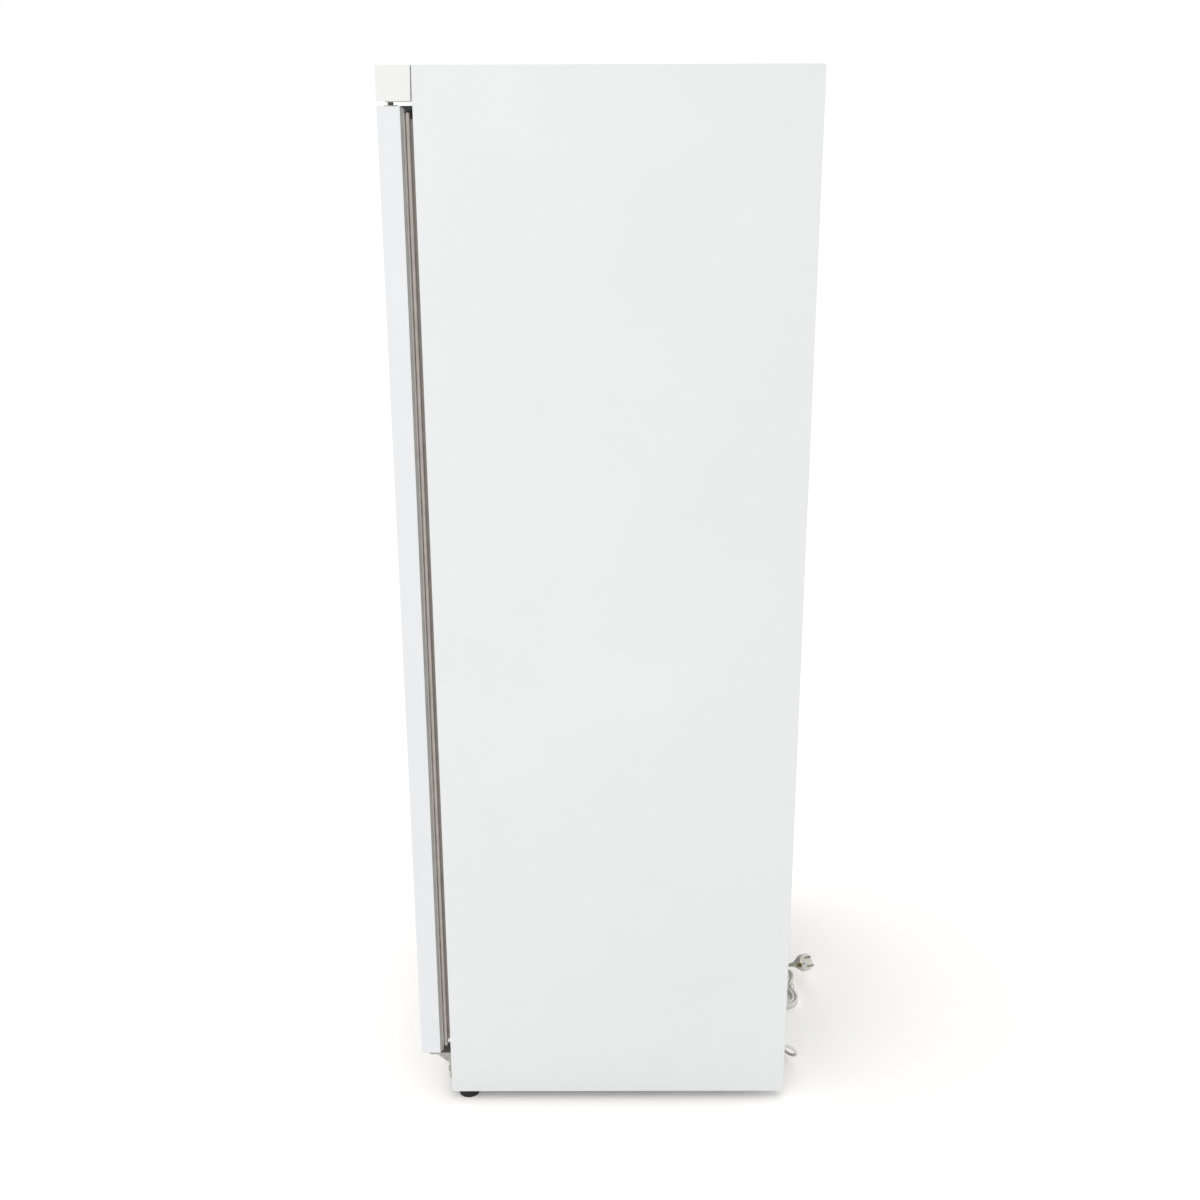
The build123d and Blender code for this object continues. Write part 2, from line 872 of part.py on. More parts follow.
def hinge_screw(z):
    face = front - hinge_plate
    head = rod((pin_x, face - screw_head_height, z), (pin_x, face, z), screw_head_diameter)
    head = fillet(head.edges().group_by(Axis.Y)[0], screw_head_height * 0.45)
    sunk = (face - screw_head_height, face - screw_head_height + 2.0)
    cross = block(around(pin_x, 5.0), sunk, around(z, 1.2))
    cross += block(around(pin_x, 1.2), sunk, around(z, 5.0))
    return head - cross + rod((pin_x, face, z), (pin_x, front, z), screw_shank)


def hinge_screws():
    low = canopy_bottom - top_hinge_drop
    heights = list(bottom_screw_heights) + [low + rise for rise in top_screw_rises]
    return [hinge_screw(z) for z in heights]


# Canopy and controller
def canopy_profile(x, y, z, slant):
    outline = Polyline(
        (x, y[0], z[0]), (x, y[1] - slant, z[0]), (x, y[1], z[1]), (x, y[0], z[1]), close=True
    )
    return make_face(outline)


def canopy():
    """Moulded cap over the door, open at the back, leaning a little off the cabinet at its lower edge."""
    y = (door_front, front - canopy_gap_top)
    z = (canopy_bottom, canopy_top)
    slant = canopy_gap_bottom - canopy_gap_top
    outer = canopy_profile(-half_width, y, z, slant)
    cap = extrude(outer, amount=cabinet_width, dir=(1, 0, 0))
    front_corners = cap.edges().filter_by(Axis.Z).group_by(Axis.Y)[0]
    cap = fillet(front_corners, fold_radius)
    inner_z = (z[0] + canopy_wall, z[1] - canopy_wall)
    cap -= block((-half_width + canopy_wall, half_width - canopy_wall), (y[0] + canopy_wall, front), inner_z)
    outer_tab = half_width - canopy_tab_from_side
    for place in (-outer_tab, -canopy_tab_from_middle, canopy_tab_from_middle, outer_tab):
        x = around(place, canopy_tab_width)
        tab_z = (z[1] - canopy_wall - canopy_tab_height, z[1] - canopy_wall)
        cap += block(x, (front - canopy_wall, front), tab_z)
        cap += block(x, (front - 4 * canopy_wall, front), (tab_z[1] - canopy_wall, tab_z[1]))
    hinge_x = around(pin_x, hinge_width + 2 * fit)
    cap -= block(hinge_x, (pin_y - hinge_nose - fit, front), (z[0], z[0] + canopy_wall))
    width = controller_width + 2 * controller_gap
    height = controller_height + 2 * controller_gap
    opening_z = around(controller_z(), height)
    cap -= block(around(controller_middle, width), (y[0], y[0] + canopy_wall), opening_z)
    return cap - cam_keeper()


def cam_keeper():
    """Slot in the canopy's underside that the lock's cam turns up into."""
    half = cam_width / 2 + cam_room
    reach = math.sqrt((cam_reach + cam_room) ** 2 - (canopy_bottom - lock_z) ** 2)
    y = (cam_front - cam_room, cam_front + cam_thickness + cam_room)
    return block((lock_x - half, lock_x + reach), y, (canopy_bottom, canopy_bottom + canopy_wall))


def controller_z():
    return (canopy_bottom + canopy_top) / 2


def button_x(index):
    return controller_middle + button_first + button_pitch * index


def controller():
    """Panel-mounted thermostat with a sunk window and pockets for its buttons."""
    z = controller_z()
    y = (door_front, door_front + controller_depth)
    body = block(around(controller_middle, controller_width), y, around(z, controller_height))
    body = fillet(body.edges().filter_by(Axis.Y), 1.5)
    window_x = (controller_middle - controller_width / 2 + 6.0, controller_middle + button_first - 8.0)
    body -= block(window_x, (y[0], y[0] + 0.8), around(z, controller_height - 10.0))
    for index in range(len(button_names)):
        x = around(button_x(index), button_width + 2 * fit)
        depth = button_length + button_travel + fit
        body -= block(x, (y[0], y[0] + depth), around(z, button_height + 2 * fit))
    for side in (-1, 1):
        edge = controller_middle + side * controller_width / 2
        clip_x = sorted((edge - side * 1.0, edge + side * 4.0))
        clip_y = (door_front + canopy_wall + fit, door_front + canopy_wall + 9.0)
        body += block(clip_x, clip_y, around(z, 10.0))
    return body


def button(index):
    z = controller_z()
    y = (door_front, door_front + button_length)
    key = block(around(button_x(index), button_width), y, around(z, button_height))
    return fillet(key.edges().group_by(Axis.Y)[0], 0.6)


# Shelves
def slot_z(index):
    return ladder_bottom + slot_pitch * (index + 1)


def ladder(y):
    """Upright with a row of slots, fixed to the side wall."""
    x = (cavity_side - ladder_thickness, cavity_side)
    upright = block(x, around(y, ladder_width), (ladder_bottom, ladder_top))
    inner_y = around(y, ladder_width - 2 * ladder_wall)
    upright -= block((x[0] + ladder_wall, x[1]), inner_y, (ladder_bottom, ladder_top))
    count = int((ladder_top - ladder_bottom) / slot_pitch) - 1
    slots = [
        block((x[0], x[0] + ladder_wall), around(y, slot_width), around(slot_z(index), slot_height))
        for index in range(count)
    ]
    return upright - slots


def shelf_z(level):
    """The underside of a shelf's frame."""
    return slot_z(shelf_first_slot + shelf_slot_step * level)


def shelf_side():
    return cavity_side - ladder_thickness - shelf_side_gap - shelf_frame_diameter / 2


def shelf(level):
    """Wire shelf: a round frame, two cross rods under it and a row of wires over it."""
    side = shelf_side()
    low_y = front + shelf_front_gap + shelf_frame_diameter / 2
    high_y = cavity_back - shelf_back_gap - shelf_frame_diameter / 2
    z = shelf_z(level) + shelf_frame_diameter / 2
    outline = Plane.XY.offset(z) * Pos(0, (low_y + high_y) / 2) * RectangleRounded(
        2 * side, high_y - low_y, shelf_corner
    )
    loop = outline.face().outer_wire()
    start = Plane(origin=loop @ 0, z_dir=loop % 0)
    grid = sweep(start * Circle(shelf_frame_diameter / 2), path=loop)
    cross_y = [low_y + share * (high_y - low_y) for share in shelf_cross_places]
    rods = [rod((-side, y, z), (side, y, z), shelf_frame_diameter) for y in cross_y]
    wire_z = z + (shelf_frame_diameter + shelf_wire_diameter) / 2 - shelf_wire_sink
    count = int((2 * side - 2 * shelf_corner) / shelf_wire_pitch)
    wire_x = [shelf_wire_pitch * (index - count / 2) for index in range(count + 1)]
    wires = [rod((x, low_y, wire_z), (x, high_y, wire_z), shelf_wire_diameter) for x in wire_x]
    return grid + rods + wires


def shelf_clip(level, y):
    """Clip hooked into a slot, with a ledge under the shelf."""
    face = cavity_side - ladder_thickness
    z = shelf_z(level)
    clip = block((face - clip_reach, face), around(y, clip_width), (z - clip_sheet, z))
    clip += block((face - clip_sheet, face), around(y, clip_width), (z - clip_sheet, z + clip_height))
    hook_z = slot_z(shelf_first_slot + shelf_slot_step * level)
    hook_x = (face, face + ladder_wall + 2.0)
    return clip + block(hook_x, around(y, slot_width - 4.0), around(hook_z, slot_height - 2 * fit))


def shelf_clips():
    clips = []
    for level in range(shelf_count):
        for y in ladder_places:
            clip = shelf_clip(level, y)
            clips += [clip, mirrored(clip)]
    return clips


# Evaporator
def fan_z():
    return (cover_bottom + cavity_top) / 2


def evaporator_cover():
    """Folded cover with the fan's guard pressed into its front."""
    side = cover_width / 2
    y = (cover_front, cavity_back)
    z = (cover_bottom, cavity_top)
    cover = block((-side, side), y, z)
    inner_x = (-side + cover_sheet, side - cover_sheet)
    cover -= block(inner_x, (y[0] + cover_sheet, y[1]), (z[0] + cover_sheet, z[1]))
    front_edges = cover.edges().filter_by(Axis.Z).group_by(Axis.Y)[0]
    cover = fillet(front_edges, 4.0)
    face = (y[0], y[0] + cover_sheet)
    cover -= rod((0, face[0], fan_z()), (0, face[1], fan_z()), fan_opening)
    reach = fan_opening / 2
    ring_count = int(reach / guard_ring_pitch)
    guard = [
        block(around(0, guard_spoke_width), face, around(fan_z(), fan_opening + cover_sheet)),
        block(around(0, fan_opening + cover_sheet), face, around(fan_z(), guard_spoke_width)),
    ]
    for index in range(1, ring_count):
        outer = 2 * guard_ring_pitch * index
        hoop = rod((0, face[0], fan_z()), (0, face[1], fan_z()), outer)
        guard.append(hoop - rod((0, face[0], fan_z()), (0, face[1], fan_z()), outer - 2 * guard_ring_width))
    cover += guard
    pitch = cover_width / (intake_slot_count + 1)
    slots = [
        block(
            around(-side + pitch * (index + 1), intake_slot_width),
            (y[0] + 20.0, y[0] + 20.0 + intake_slot_height),
            (z[0], z[0] + cover_sheet),
        )
        for index in range(intake_slot_count)
    ]
    return cover - slots


def coil_height(index):
    return cover_bottom + gutter_height + 34.0 + coil_pitch * index


def coil_line():
    return cavity_back - fin_depth / 2 - coil_overhang / 2


def evaporator_coil():
    """Tube bent to and fro through a row of plate fins; the end plates reach back to the liner."""
    half = fin_pitch * (fin_count - 1) / 2
    turn = coil_pitch / 2
    reach = half + coil_overhang + turn
    points = []
    for index in range(coil_passes):
        ends = (-reach, reach) if index % 2 == 0 else (reach, -reach)
        points += [(ends[0], coil_line(), coil_height(index)), (ends[1], coil_line(), coil_height(index))]
    points[0] = (-half - coil_overhang, coil_line(), coil_height(0))
    points[-1] = (half + coil_overhang, coil_line(), coil_height(coil_passes - 1))
    coil = pipe(points, coil_diameter, turn * 0.98)
    fin_y = (coil_line() - fin_depth / 2, coil_line() + fin_depth / 2)
    fin_z = (coil_height(0) - coil_pitch / 2, coil_height(0) - coil_pitch / 2 + fin_height)
    bore = coil_diameter + 2 * coil_gap
    levels = [coil_height(index) for index in range(coil_passes)]
    holes = [rod((-1, coil_line(), z), (1, coil_line(), z), bore) for z in levels]
    fin = block(around(0, fin_thickness), fin_y, fin_z) - holes
    end_plate = block(around(0, fin_thickness), (fin_y[0], cavity_back), fin_z) - holes
    places = [fin_pitch * index - half for index in range(fin_count)]
    plates = [Pos(x, 0, 0) * (end_plate if abs(x) > half - fin_pitch / 2 else fin) for x in places]
    return [coil] + plates


def fan_start():
    return cover_front + cover_sheet + fan_from_cover


def fan_motor():
    """Motor on three arms that stand on the cover's front, with its shaft forward."""
    y = fan_start() + fan_hub_length + motor_gap
    motor = rod((0, y, fan_z()), (0, y + motor_length, fan_z()), motor_diameter)
    motor = fillet(motor.edges(), 3.0)
    middle = y + motor_length / 2
    motor += rod((0, fan_start() + 2.0, fan_z()), (0, middle, fan_z()), motor_shaft)
    reach = fan_opening / 2 + motor_post
    for turn in (90, 210, 330):
        x = math.cos(math.radians(turn)) * reach
        z = fan_z() + math.sin(math.radians(turn)) * reach
        motor += rod((0, middle, fan_z()), (x, middle, z), motor_arm)
        motor += rod((x, cover_front + cover_sheet, z), (x, middle + motor_arm, z), motor_post)
    return motor


def fan_blades():
    """Hub with pitched blades trimmed to the fan's circle."""
    y = (fan_start(), fan_start() + fan_hub_length)
    middle = (y[0] + y[1]) / 2
    hub = rod((0, y[0], fan_z()), (0, y[1], fan_z()), fan_hub_diameter)
    disc = rod((0, y[0], fan_z()), (0, y[1], fan_z()), fan_diameter)
    radius = fan_diameter / 2
    blade = Box(fan_blade_width, fan_blade_thickness, radius, align=(Align.CENTER, Align.CENTER, Align.MIN))
    blade = Rot(0, 0, fan_blade_pitch) * blade
    blades = [
        Pos(0, middle, fan_z()) * Rot(0, 360 / fan_blade_count * index, 0) * blade & disc
        for index in range(fan_blade_count)
    ]
    return (hub + blades) - rod((0, y[0], fan_z()), (0, y[1], fan_z()), motor_shaft + 2 * pin_fit)


# Light and door switch
def light_front():
    return bulge_back + light_gap_to_door


def light_x():
    return around(0, light_width)


def plunger_z():
    return cavity_top - light_height / 2 - 4.0


def light_housing():
    x = light_x()
    y = (light_front(), light_front() + light_depth)
    z = (cavity_top - light_height, cavity_top)
    housing = block(x, y, z)
    housing = fillet(housing.edges().filter_by(Axis.Z), 5.0)
    inner_x = (x[0] + light_wall, x[1] - light_wall)
    inner = block(inner_x, (y[0] + light_wall, y[1] - light_wall), (z[0], z[1] - light_wall))
    boss_y = (y[0], y[0] + plunger_inside + plunger_travel)
    housing -= inner
    housing += block(around(plunger_place, plunger_boss), boss_y, (z[0], z[1]))
    return housing - rod(
        (plunger_place, y[0], plunger_z()),
        (plunger_place, y[0] + plunger_inside + fit, plunger_z()),
        plunger_diameter + 2 * hole_fit,
    )


def light_diffuser():
    """Clear cap clipped under the light's housing."""
    x = light_x()
    y = (light_front(), light_front() + light_depth)
    z = (cavity_top - light_height - diffuser_height, cavity_top - light_height)
    cap = block(x, y, z)
    cap = fillet(cap.edges().filter_by(Axis.Z), 5.0)
    cap = fillet(cap.edges().group_by(Axis.Z)[0], 3.0)
    inner_x = (x[0] + diffuser_wall, x[1] - diffuser_wall)
    inner_y = (y[0] + diffuser_wall, y[1] - diffuser_wall)
    return cap - block(inner_x, inner_y, (z[0] + diffuser_wall, z[1]))


def door_switch_plunger():
    tip = (plunger_place, bulge_back + fit, plunger_z())
    stem = rod(tip, (plunger_place, light_front() + plunger_inside, plunger_z()), plunger_diameter)
    return fillet(stem.edges().group_by(Axis.Y)[0], plunger_diameter * 0.3)


# Condenser
def condenser_line():
    return panel_back + sheet + (condenser_recess - sheet) / 2 + 4.0


def condenser_top():
    return condenser_bottom + condenser_pitch * (condenser_runs - 1)


def condenser():
    """Steel tube bent to and fro, with a grid of upright wires welded to each side."""
    side = condenser_width / 2
    y = condenser_line()
    riser = side + condenser_riser_gap
    points = [(riser, y, pipe_level())]
    for index in range(condenser_runs):
        z = condenser_top() - condenser_pitch * index
        start = riser if index == 0 else side
        ends = (start, -side) if index % 2 == 0 else (-side, side)
        points += [(ends[0], y, z), (ends[1], y, z)]
    points.append((-side, y, pipe_level()))
    if condenser_runs % 2 == 0:
        points[-1] = (side, y, pipe_level())
    coil = pipe(points, condenser_tube, condenser_pitch / 2 * 0.96)
    low = condenser_bottom - wire_overhang
    high = condenser_top() + wire_overhang
    reach = side - condenser_pitch / 2
    count = int(2 * reach / wire_pitch)
    width = count * wire_pitch + wire_size
    grid = Rectangle(width, high - low)
    windows = GridLocations(wire_pitch, 0, count, 1)
    grid -= windows * Rectangle(wire_pitch - wire_size, high - low - 2 * wire_size)
    net = extrude(grid, amount=wire_size)
    upright = Pos(0, 0, (low + high) / 2) * Rot(90, 0, 0) * net
    gap = condenser_tube / 2
    behind = Pos(0, y + gap + wire_size, 0) * upright
    before = Pos(0, y - gap, 0) * upright
    return coil, behind, before


def pipe_level():
    return machine_top - 90.0


def condenser_bracket(z):
    """Bent strip from the wires to the side panel's rear flange."""
    back = condenser_line() + condenser_tube / 2 + wire_size
    flange = rear - sheet
    corner = half_width - rear_flange - bracket_sheet
    reach = condenser_width / 2 - condenser_pitch / 2 - bracket_grip
    z_limits = around(z, bracket_height)
    strip = block((reach, corner), (back, back + bracket_sheet), z_limits)
    strip += block((corner, corner + bracket_sheet), (back, flange), z_limits)
    return strip + block((corner, corner + rear_flange), (flange - bracket_sheet, flange), z_limits)


def condenser_brackets():
    low = condenser_bottom
    high = condenser_top()
    brackets = []
    for share in bracket_places:
        z = low + share * (high - low) + condenser_pitch / 2
        bracket = condenser_bracket(z)
        brackets += [bracket, mirrored(bracket)]
    return brackets


# Compressor
def compressor_floor():
    return tray_top + grommet_height


def compressor():
    """Sealed shell in two halves with a welded seam, on a foot plate."""
    x, y = compressor_place
    low = compressor_floor()
    high = low + compressor_height
    shape = Plane.XY.offset(low) * Pos(x, y) * Ellipse(compressor_length / 2, compressor_depth / 2)
    shell = extrude(shape, amount=compressor_height)
    shell = fillet(shell.edges().group_by(Axis.Z)[-1], compressor_rounding)
    shell = fillet(shell.edges().group_by(Axis.Z)[0], compressor_rounding / 3)
    seam_z = low + compressor_height * 0.55
    band = Plane.XY.offset(seam_z) * Pos(x, y) * Ellipse(
        compressor_length / 2 + compressor_seam, compressor_depth / 2 + compressor_seam
    )
    shell += extrude(band, amount=compressor_seam)
    plate = block(
        around(x, foot_plate_length), around(y, foot_plate_depth), (low, low + foot_plate_sheet)
    )
    plate = fillet(plate.edges().filter_by(Axis.Z), 10.0)
    over = low + foot_plate_sheet
    holes = [rod((gx, gy, low), (gx, gy, over), grommet_neck) for gx, gy in grommet_places()]
    shell += plate
    return shell - holes


def grommet_places():
    x, y = compressor_place
    half_x = foot_plate_length / 2 - grommet_inset
    half_y = foot_plate_depth / 2 - grommet_inset
    return [(x + sx * half_x, y + sy * half_y) for sx in (-1, 1) for sy in (-1, 1)]


def compressor_grommets():
    """Rubber feet under the plate, each with a neck through its hole and a cap over it."""
    grommets = []
    over = compressor_floor() + foot_plate_sheet
    for x, y in grommet_places():
        rubber = rod((x, y, tray_top), (x, y, compressor_floor()), grommet_diameter)
        rubber = fillet(rubber.edges().group_by(Axis.Z)[0], 2.0)
        rubber += rod((x, y, compressor_floor()), (x, y, over), grommet_neck - 2 * hole_fit)
        rubber += rod((x, y, over), (x, y, over + 3.0), grommet_neck + 5.0)
        grommets.append(rubber)
    return grommets


def terminal_box():
    """Relay and overload cover on the end of the compressor, with the mains lead down to the gland."""
    x, y = compressor_place
    low = compressor_floor() + compressor_height * 0.25
    start = x + compressor_length / 2 - 16.0
    box = block((start, start + terminal_width), around(y, terminal_depth), (low, low + terminal_height))
    box = fillet(box.edges().filter_by(Axis.X), 6.0)
    gap = fit
    keep_off = Plane.XY.offset(compressor_floor()) * Pos(x, y) * Ellipse(
        compressor_length / 2 + gap, compressor_depth / 2 + gap
    )
    box -= extrude(keep_off, amount=compressor_height)
    seam_z = compressor_floor() + compressor_height * 0.55
    band = Plane.XY.offset(seam_z - gap) * Pos(x, y) * Ellipse(
        compressor_length / 2 + compressor_seam + gap, compressor_depth / 2 + compressor_seam + gap
    )
    box -= extrude(band, amount=compressor_seam + 2 * gap)
    return box.solids().sort_by(SortBy.VOLUME)[-1]


def inner_lead():
    """The cord inside the compartment, from the terminal box to the gland."""
    x, y = compressor_place
    start = x + compressor_length / 2 - 16.0 + terminal_width
    low = compressor_floor() + compressor_height * 0.25 + 14.0
    inside = rear - sheet - tray_sheet - 2.0
    points = (
        (start, y, low),
        (start + 60.0, y, low),
        (gland_place - 60.0, y + 20.0, gland_height),
        (gland_place, y + 40.0, gland_height),
        (gland_place, inside, gland_height),
    )
    radii = [min(radius, 60.0) for radius in cord_radii(points)]
    return tube(points, cord_diameter, radii)[0]


def evaporation_pan():
    """Pan on the compressor that catches and dries off the drain water."""
    x = compressor_place[0]
    y = compressor_place[1]
    low = compressor_floor() + compressor_height
    pan = block(around(x, tray_pan_length), around(y + 8.0, tray_pan_depth), (low, low + tray_pan_height))
    pan = fillet(pan.edges().filter_by(Axis.Z), 12.0)
    return pan - block(
        around(x, tray_pan_length - 2 * tray_pan_wall),
        around(y + 8.0, tray_pan_depth - 2 * tray_pan_wall),
        (low + tray_pan_wall, low + tray_pan_height),
    )


def filter_drier():
    """Copper drier under the condenser's outlet."""
    x = -condenser_width / 2
    y = condenser_line()
    top_z = pipe_level() - fit
    cone_z = top_z - drier_cone
    low_z = cone_z - drier_length + 2 * drier_cone
    body = rod((x, y, low_z), (x, y, cone_z), drier_diameter)
    body += cone((x, y, cone_z), (x, y, top_z), drier_diameter, pipe_diameter + 1.0)
    return body + cone((x, y, low_z), (x, y, low_z - drier_cone), drier_diameter, pipe_diameter + 1.0)


def refrigerant_pipes():
    """Discharge pipe to the condenser, capillary from the drier and suction pipe from the ceiling."""
    x, y = compressor_place
    shell_side = x + compressor_length / 2
    riser = condenser_width / 2 + condenser_riser_gap
    line = condenser_line()
    exit_z = compressor_floor() + compressor_height * 0.16
    discharge = pipe(
        (
            (x - 40.0, y + compressor_depth / 2 - 8.0, exit_z),
            (x - 40.0, line, exit_z),
            (riser, line, exit_z),
            (riser, line, pipe_level() - fit),
        ),
        pipe_diameter,
        pipe_bend,
    )
    suction_z = compressor_floor() + compressor_height * 0.3
    suction_x = shell_side + 90.0
    suction = pipe(
        (
            (x + 52.0, y - compressor_depth / 2 + 12.0, suction_z),
            (x + 52.0, machine_front + 22.0, suction_z),
            (suction_x, machine_front + 22.0, suction_z),
            (suction_x, machine_front + 22.0, machine_top),
        ),
        pipe_diameter,
        pipe_bend,
    )
    low = pipe_level() - drier_length - fit
    capillary = pipe(
        (
            (-condenser_width / 2, line, low - fit),
            (-condenser_width / 2, line, low - 34.0),
            (-condenser_width / 2 - 50.0, line, low - 34.0),
            (-condenser_width / 2 - 50.0, machine_front + 30.0, low - 34.0),
            (-condenser_width / 2 - 50.0, machine_front + 30.0, machine_top),
        ),
        pipe_diameter / 2,
        pipe_bend,
    )
    shell_gap = Plane.XY.offset(compressor_floor()) * Pos(x, y) * Ellipse(
        compressor_length / 2 + fit, compressor_depth / 2 + fit
    )
    core = extrude(shell_gap, amount=compressor_height)
    return [piece - core for piece in (discharge, suction)] + [capillary]


# Cord
def cord_gland():
    """Bush in the tray's rear lip, tapering off along the cord."""
    lip = rear - sheet
    x = gland_place
    z = gland_height
    gland = rod((x, lip, z), (x, lip + 3.0, z), gland_flange)
    gland = fillet(gland.edges().group_by(Axis.Y)[-1], 1.0)
    gland += rod((x, lip - tray_sheet - 2.0, z), (x, lip, z), cord_gland_bore() - 2 * hole_fit)
    gland += cone((x, lip + 3.0, z), (x, lip + gland_relief, z), 12.0, cord_diameter + 2.0)
    return gland


def gland_end():
    return (gland_place, rear - sheet + gland_relief, gland_height)


def free_cord(name, points):
    """A free stretch of the cord, with its radii and its volume printed."""
    radii = cord_radii(points)
    solid, path = tube(points, cord_diameter, radii)
    section = math.pi * cord_diameter**2 / 4
    print(name, "radii", [round(radius) for radius in radii], "length", round(path.length, 1))
    print(name, "volume over section times length", round(solid.volume / (section * path.length), 4))
    return solid, path.length


def hank_edges():
    """Flattened loops that spiral in and out again in two layers, each drawn in at its waist."""
    reverse = (hank_runs - 1) // 2
    low = floor_gap + cord_diameter / 2
    middle_x, middle_y = hank_middle

    def place(x, v, z):
        return Vector(middle_x + x, middle_y + v, z)

    def offset(run):
        return hank_half_width - min(run, hank_runs - 1 - run) * hank_step / 2

    edges = []
    for run in range(hank_runs):
        side = -1 if run % 2 == 0 else 1
        heading = -1 if run % 2 == 0 else 1
        levels = (0, 1) if run == reverse else (0, 0) if run < reverse else (1, 1)
        z = [low + hank_layer * level for level in levels]
        start = place(-heading * hank_half_length, side * offset(run), z[0])
        waist = place(0, side * (offset(run) - hank_waist), (z[0] + z[1]) / 2)
        end = place(heading * hank_half_length, side * offset(run), z[1])
        if run == 0:
            edges.append(Line(start + Vector(cord_diameter, 0, 0), start))
        for before, after in ((start, waist), (waist, end)):
            halfway = (before + after) / 2
            bend = TangentArc(before, halfway, tangent=(heading, 0, 0))
            edges.append(bend)
            edges.append(TangentArc(halfway, after, tangent=bend % 1))
        if run == hank_runs - 1:
            edges.append(Line(end, end + Vector(-cord_diameter, 0, 0)))
        else:
            radius = (offset(run) + offset(run + 1)) / 2
            shift = side * (offset(run) - offset(run + 1)) / 2
            crown = place(heading * (hank_half_length + radius), shift, z[1])
            next_start = place(heading * hank_half_length, -side * offset(run + 1), z[1])
            edges.append(ThreePointArc(end, crown, next_start))
    return edges


def self_gap(path, count, apart):
    """The least gap between stretches of a path that are farther apart along it than a distance."""
    points = [path @ (index / count) for index in range(count + 1)]
    step = path.length / count
    skip = int(apart / step)
    least = min(
        (points[i] - points[k]).length for i in range(count + 1) for k in range(i + skip, count + 1)
    )
    return least - cord_diameter


def cord_hank():
    edges = hank_edges()
    path = Wire(edges)
    start = Plane(origin=path @ 0, z_dir=path % 0)
    solid = sweep(start * Circle(cord_diameter / 2), path=path)
    section = math.pi * cord_diameter**2 / 4
    tightest = hank_half_width - (hank_runs // 2 - 0.5) * hank_step / 2
    print("cord_hank length", round(path.length, 1), "tightest turn", round(tightest, 1))
    print("cord_hank volume over section times length", round(solid.volume / (section * path.length), 4))
    print("cord_hank least gap to itself", round(self_gap(path, 700, 30.0), 2))
    return solid, path.length


def hank_end(sign):
    """Where the cord meets the hank: +1 is the end that comes from the cabinet."""
    x = hank_middle[0] + sign * (hank_half_length + cord_diameter)
    z = floor_gap + cord_diameter / 2 + (0 if sign > 0 else hank_layer)
    return (x, hank_middle[1] - hank_half_width, z)


def behind(route):
    return [(x, rear + y, z) for x, y, z in route]


def beyond(point, heading, distance):
    return tuple(Vector(*point) + Vector(*heading).normalized() * distance)


def lead_points():
    """From the gland, down to the floor and into the hank."""
    first = beyond(gland_end(), (0, 1, 0), gland_run)
    last = beyond(hank_end(1), (1, 0, 0), hank_run)
    return (gland_end(), first, *behind(lead_route), last, hank_end(1))


def tail_points():
    """Out of the hank and up into the plug."""
    first = beyond(hank_end(-1), (-1, 0, 0), tail_run)
    last = beyond(relief_end(), plug_heading, -tail_run)
    return (hank_end(-1), first, *behind(tail_route), last, relief_end())


def cord_tie():
    """Band round the hank's waist."""
    half = hank_half_width - hank_waist + cord_diameter / 2 + tie_gap
    low = floor_gap - tie_gap
    high = floor_gap + hank_layer + cord_diameter + tie_gap
    x = around(hank_middle[0], tie_width)
    y = around(hank_middle[1], 2 * half)
    outer_y = (y[0] - tie_thickness, y[1] + tie_thickness)
    outer = block(x, outer_y, (low - tie_thickness, high + tie_thickness))
    outer = fillet(outer.edges().filter_by(Axis.X), cord_diameter / 2 + tie_thickness)
    inner = block(x, y, (low, high))
    return outer - fillet(inner.edges().filter_by(Axis.X), cord_diameter / 2)


# Plug
def plug_frame():
    """The plug's own frame: its z runs out of the face along the pins, its y goes up between them."""
    heading = Vector(*plug_heading).normalized()
    return Plane(origin=plug_face, x_dir=heading.cross(Vector(0, 0, 1)), z_dir=heading)


def plug():
    """Moulded body with its strain relief, and the two pins in its face."""
    radius = plug_diameter / 2
    outline = Polyline(
        (0, 0),
        (radius, 0),
        (radius, -plug_rim_length),
        (plug_neck / 2 + 3.0, -plug_length * 0.8),
        (plug_neck / 2, -plug_length),
        (plug_relief_diameter / 2, -plug_length),
        (cord_diameter / 2 + 0.8, -plug_length - plug_relief),
        (0, -plug_length - plug_relief),
        close=True,
    )
    body = revolve(make_face(Plane.XZ * outline), axis=Axis.Z)
    body = fillet(body.edges().filter_by(GeomType.CIRCLE).group_by(Axis.Z)[-1], 1.2)
    for side in (-1, 1):
        slot_x = sorted((side * (radius - earth_slot_depth), side * (radius + 1.0)))
        body -= block(slot_x, around(0, earth_slot_width), (-plug_rim_length, 1.0))
    hole = earth_hole_diameter / 2
    body -= Pos(earth_hole_offset, 0, 0) * Cylinder(hole, 2 * earth_hole_depth)
    body += [plug_pin(side) for side in (-1, 1)]
    return plug_frame() * body


def plug_pin(side):
    upward = (Align.CENTER, Align.CENTER, Align.MIN)
    pin = Cylinder(plug_pin_diameter / 2, plug_pin_length + 4.0, align=upward)
    pin = fillet(pin.edges().group_by(Axis.Z)[-1], plug_pin_diameter * 0.45)
    return Pos(0, side * plug_pin_spacing / 2, -4.0) * pin


def relief_end():
    heading = Vector(*plug_heading).normalized()
    return tuple(Vector(*plug_face) - heading * (plug_length + plug_relief))


os.makedirs("parts", exist_ok=True)

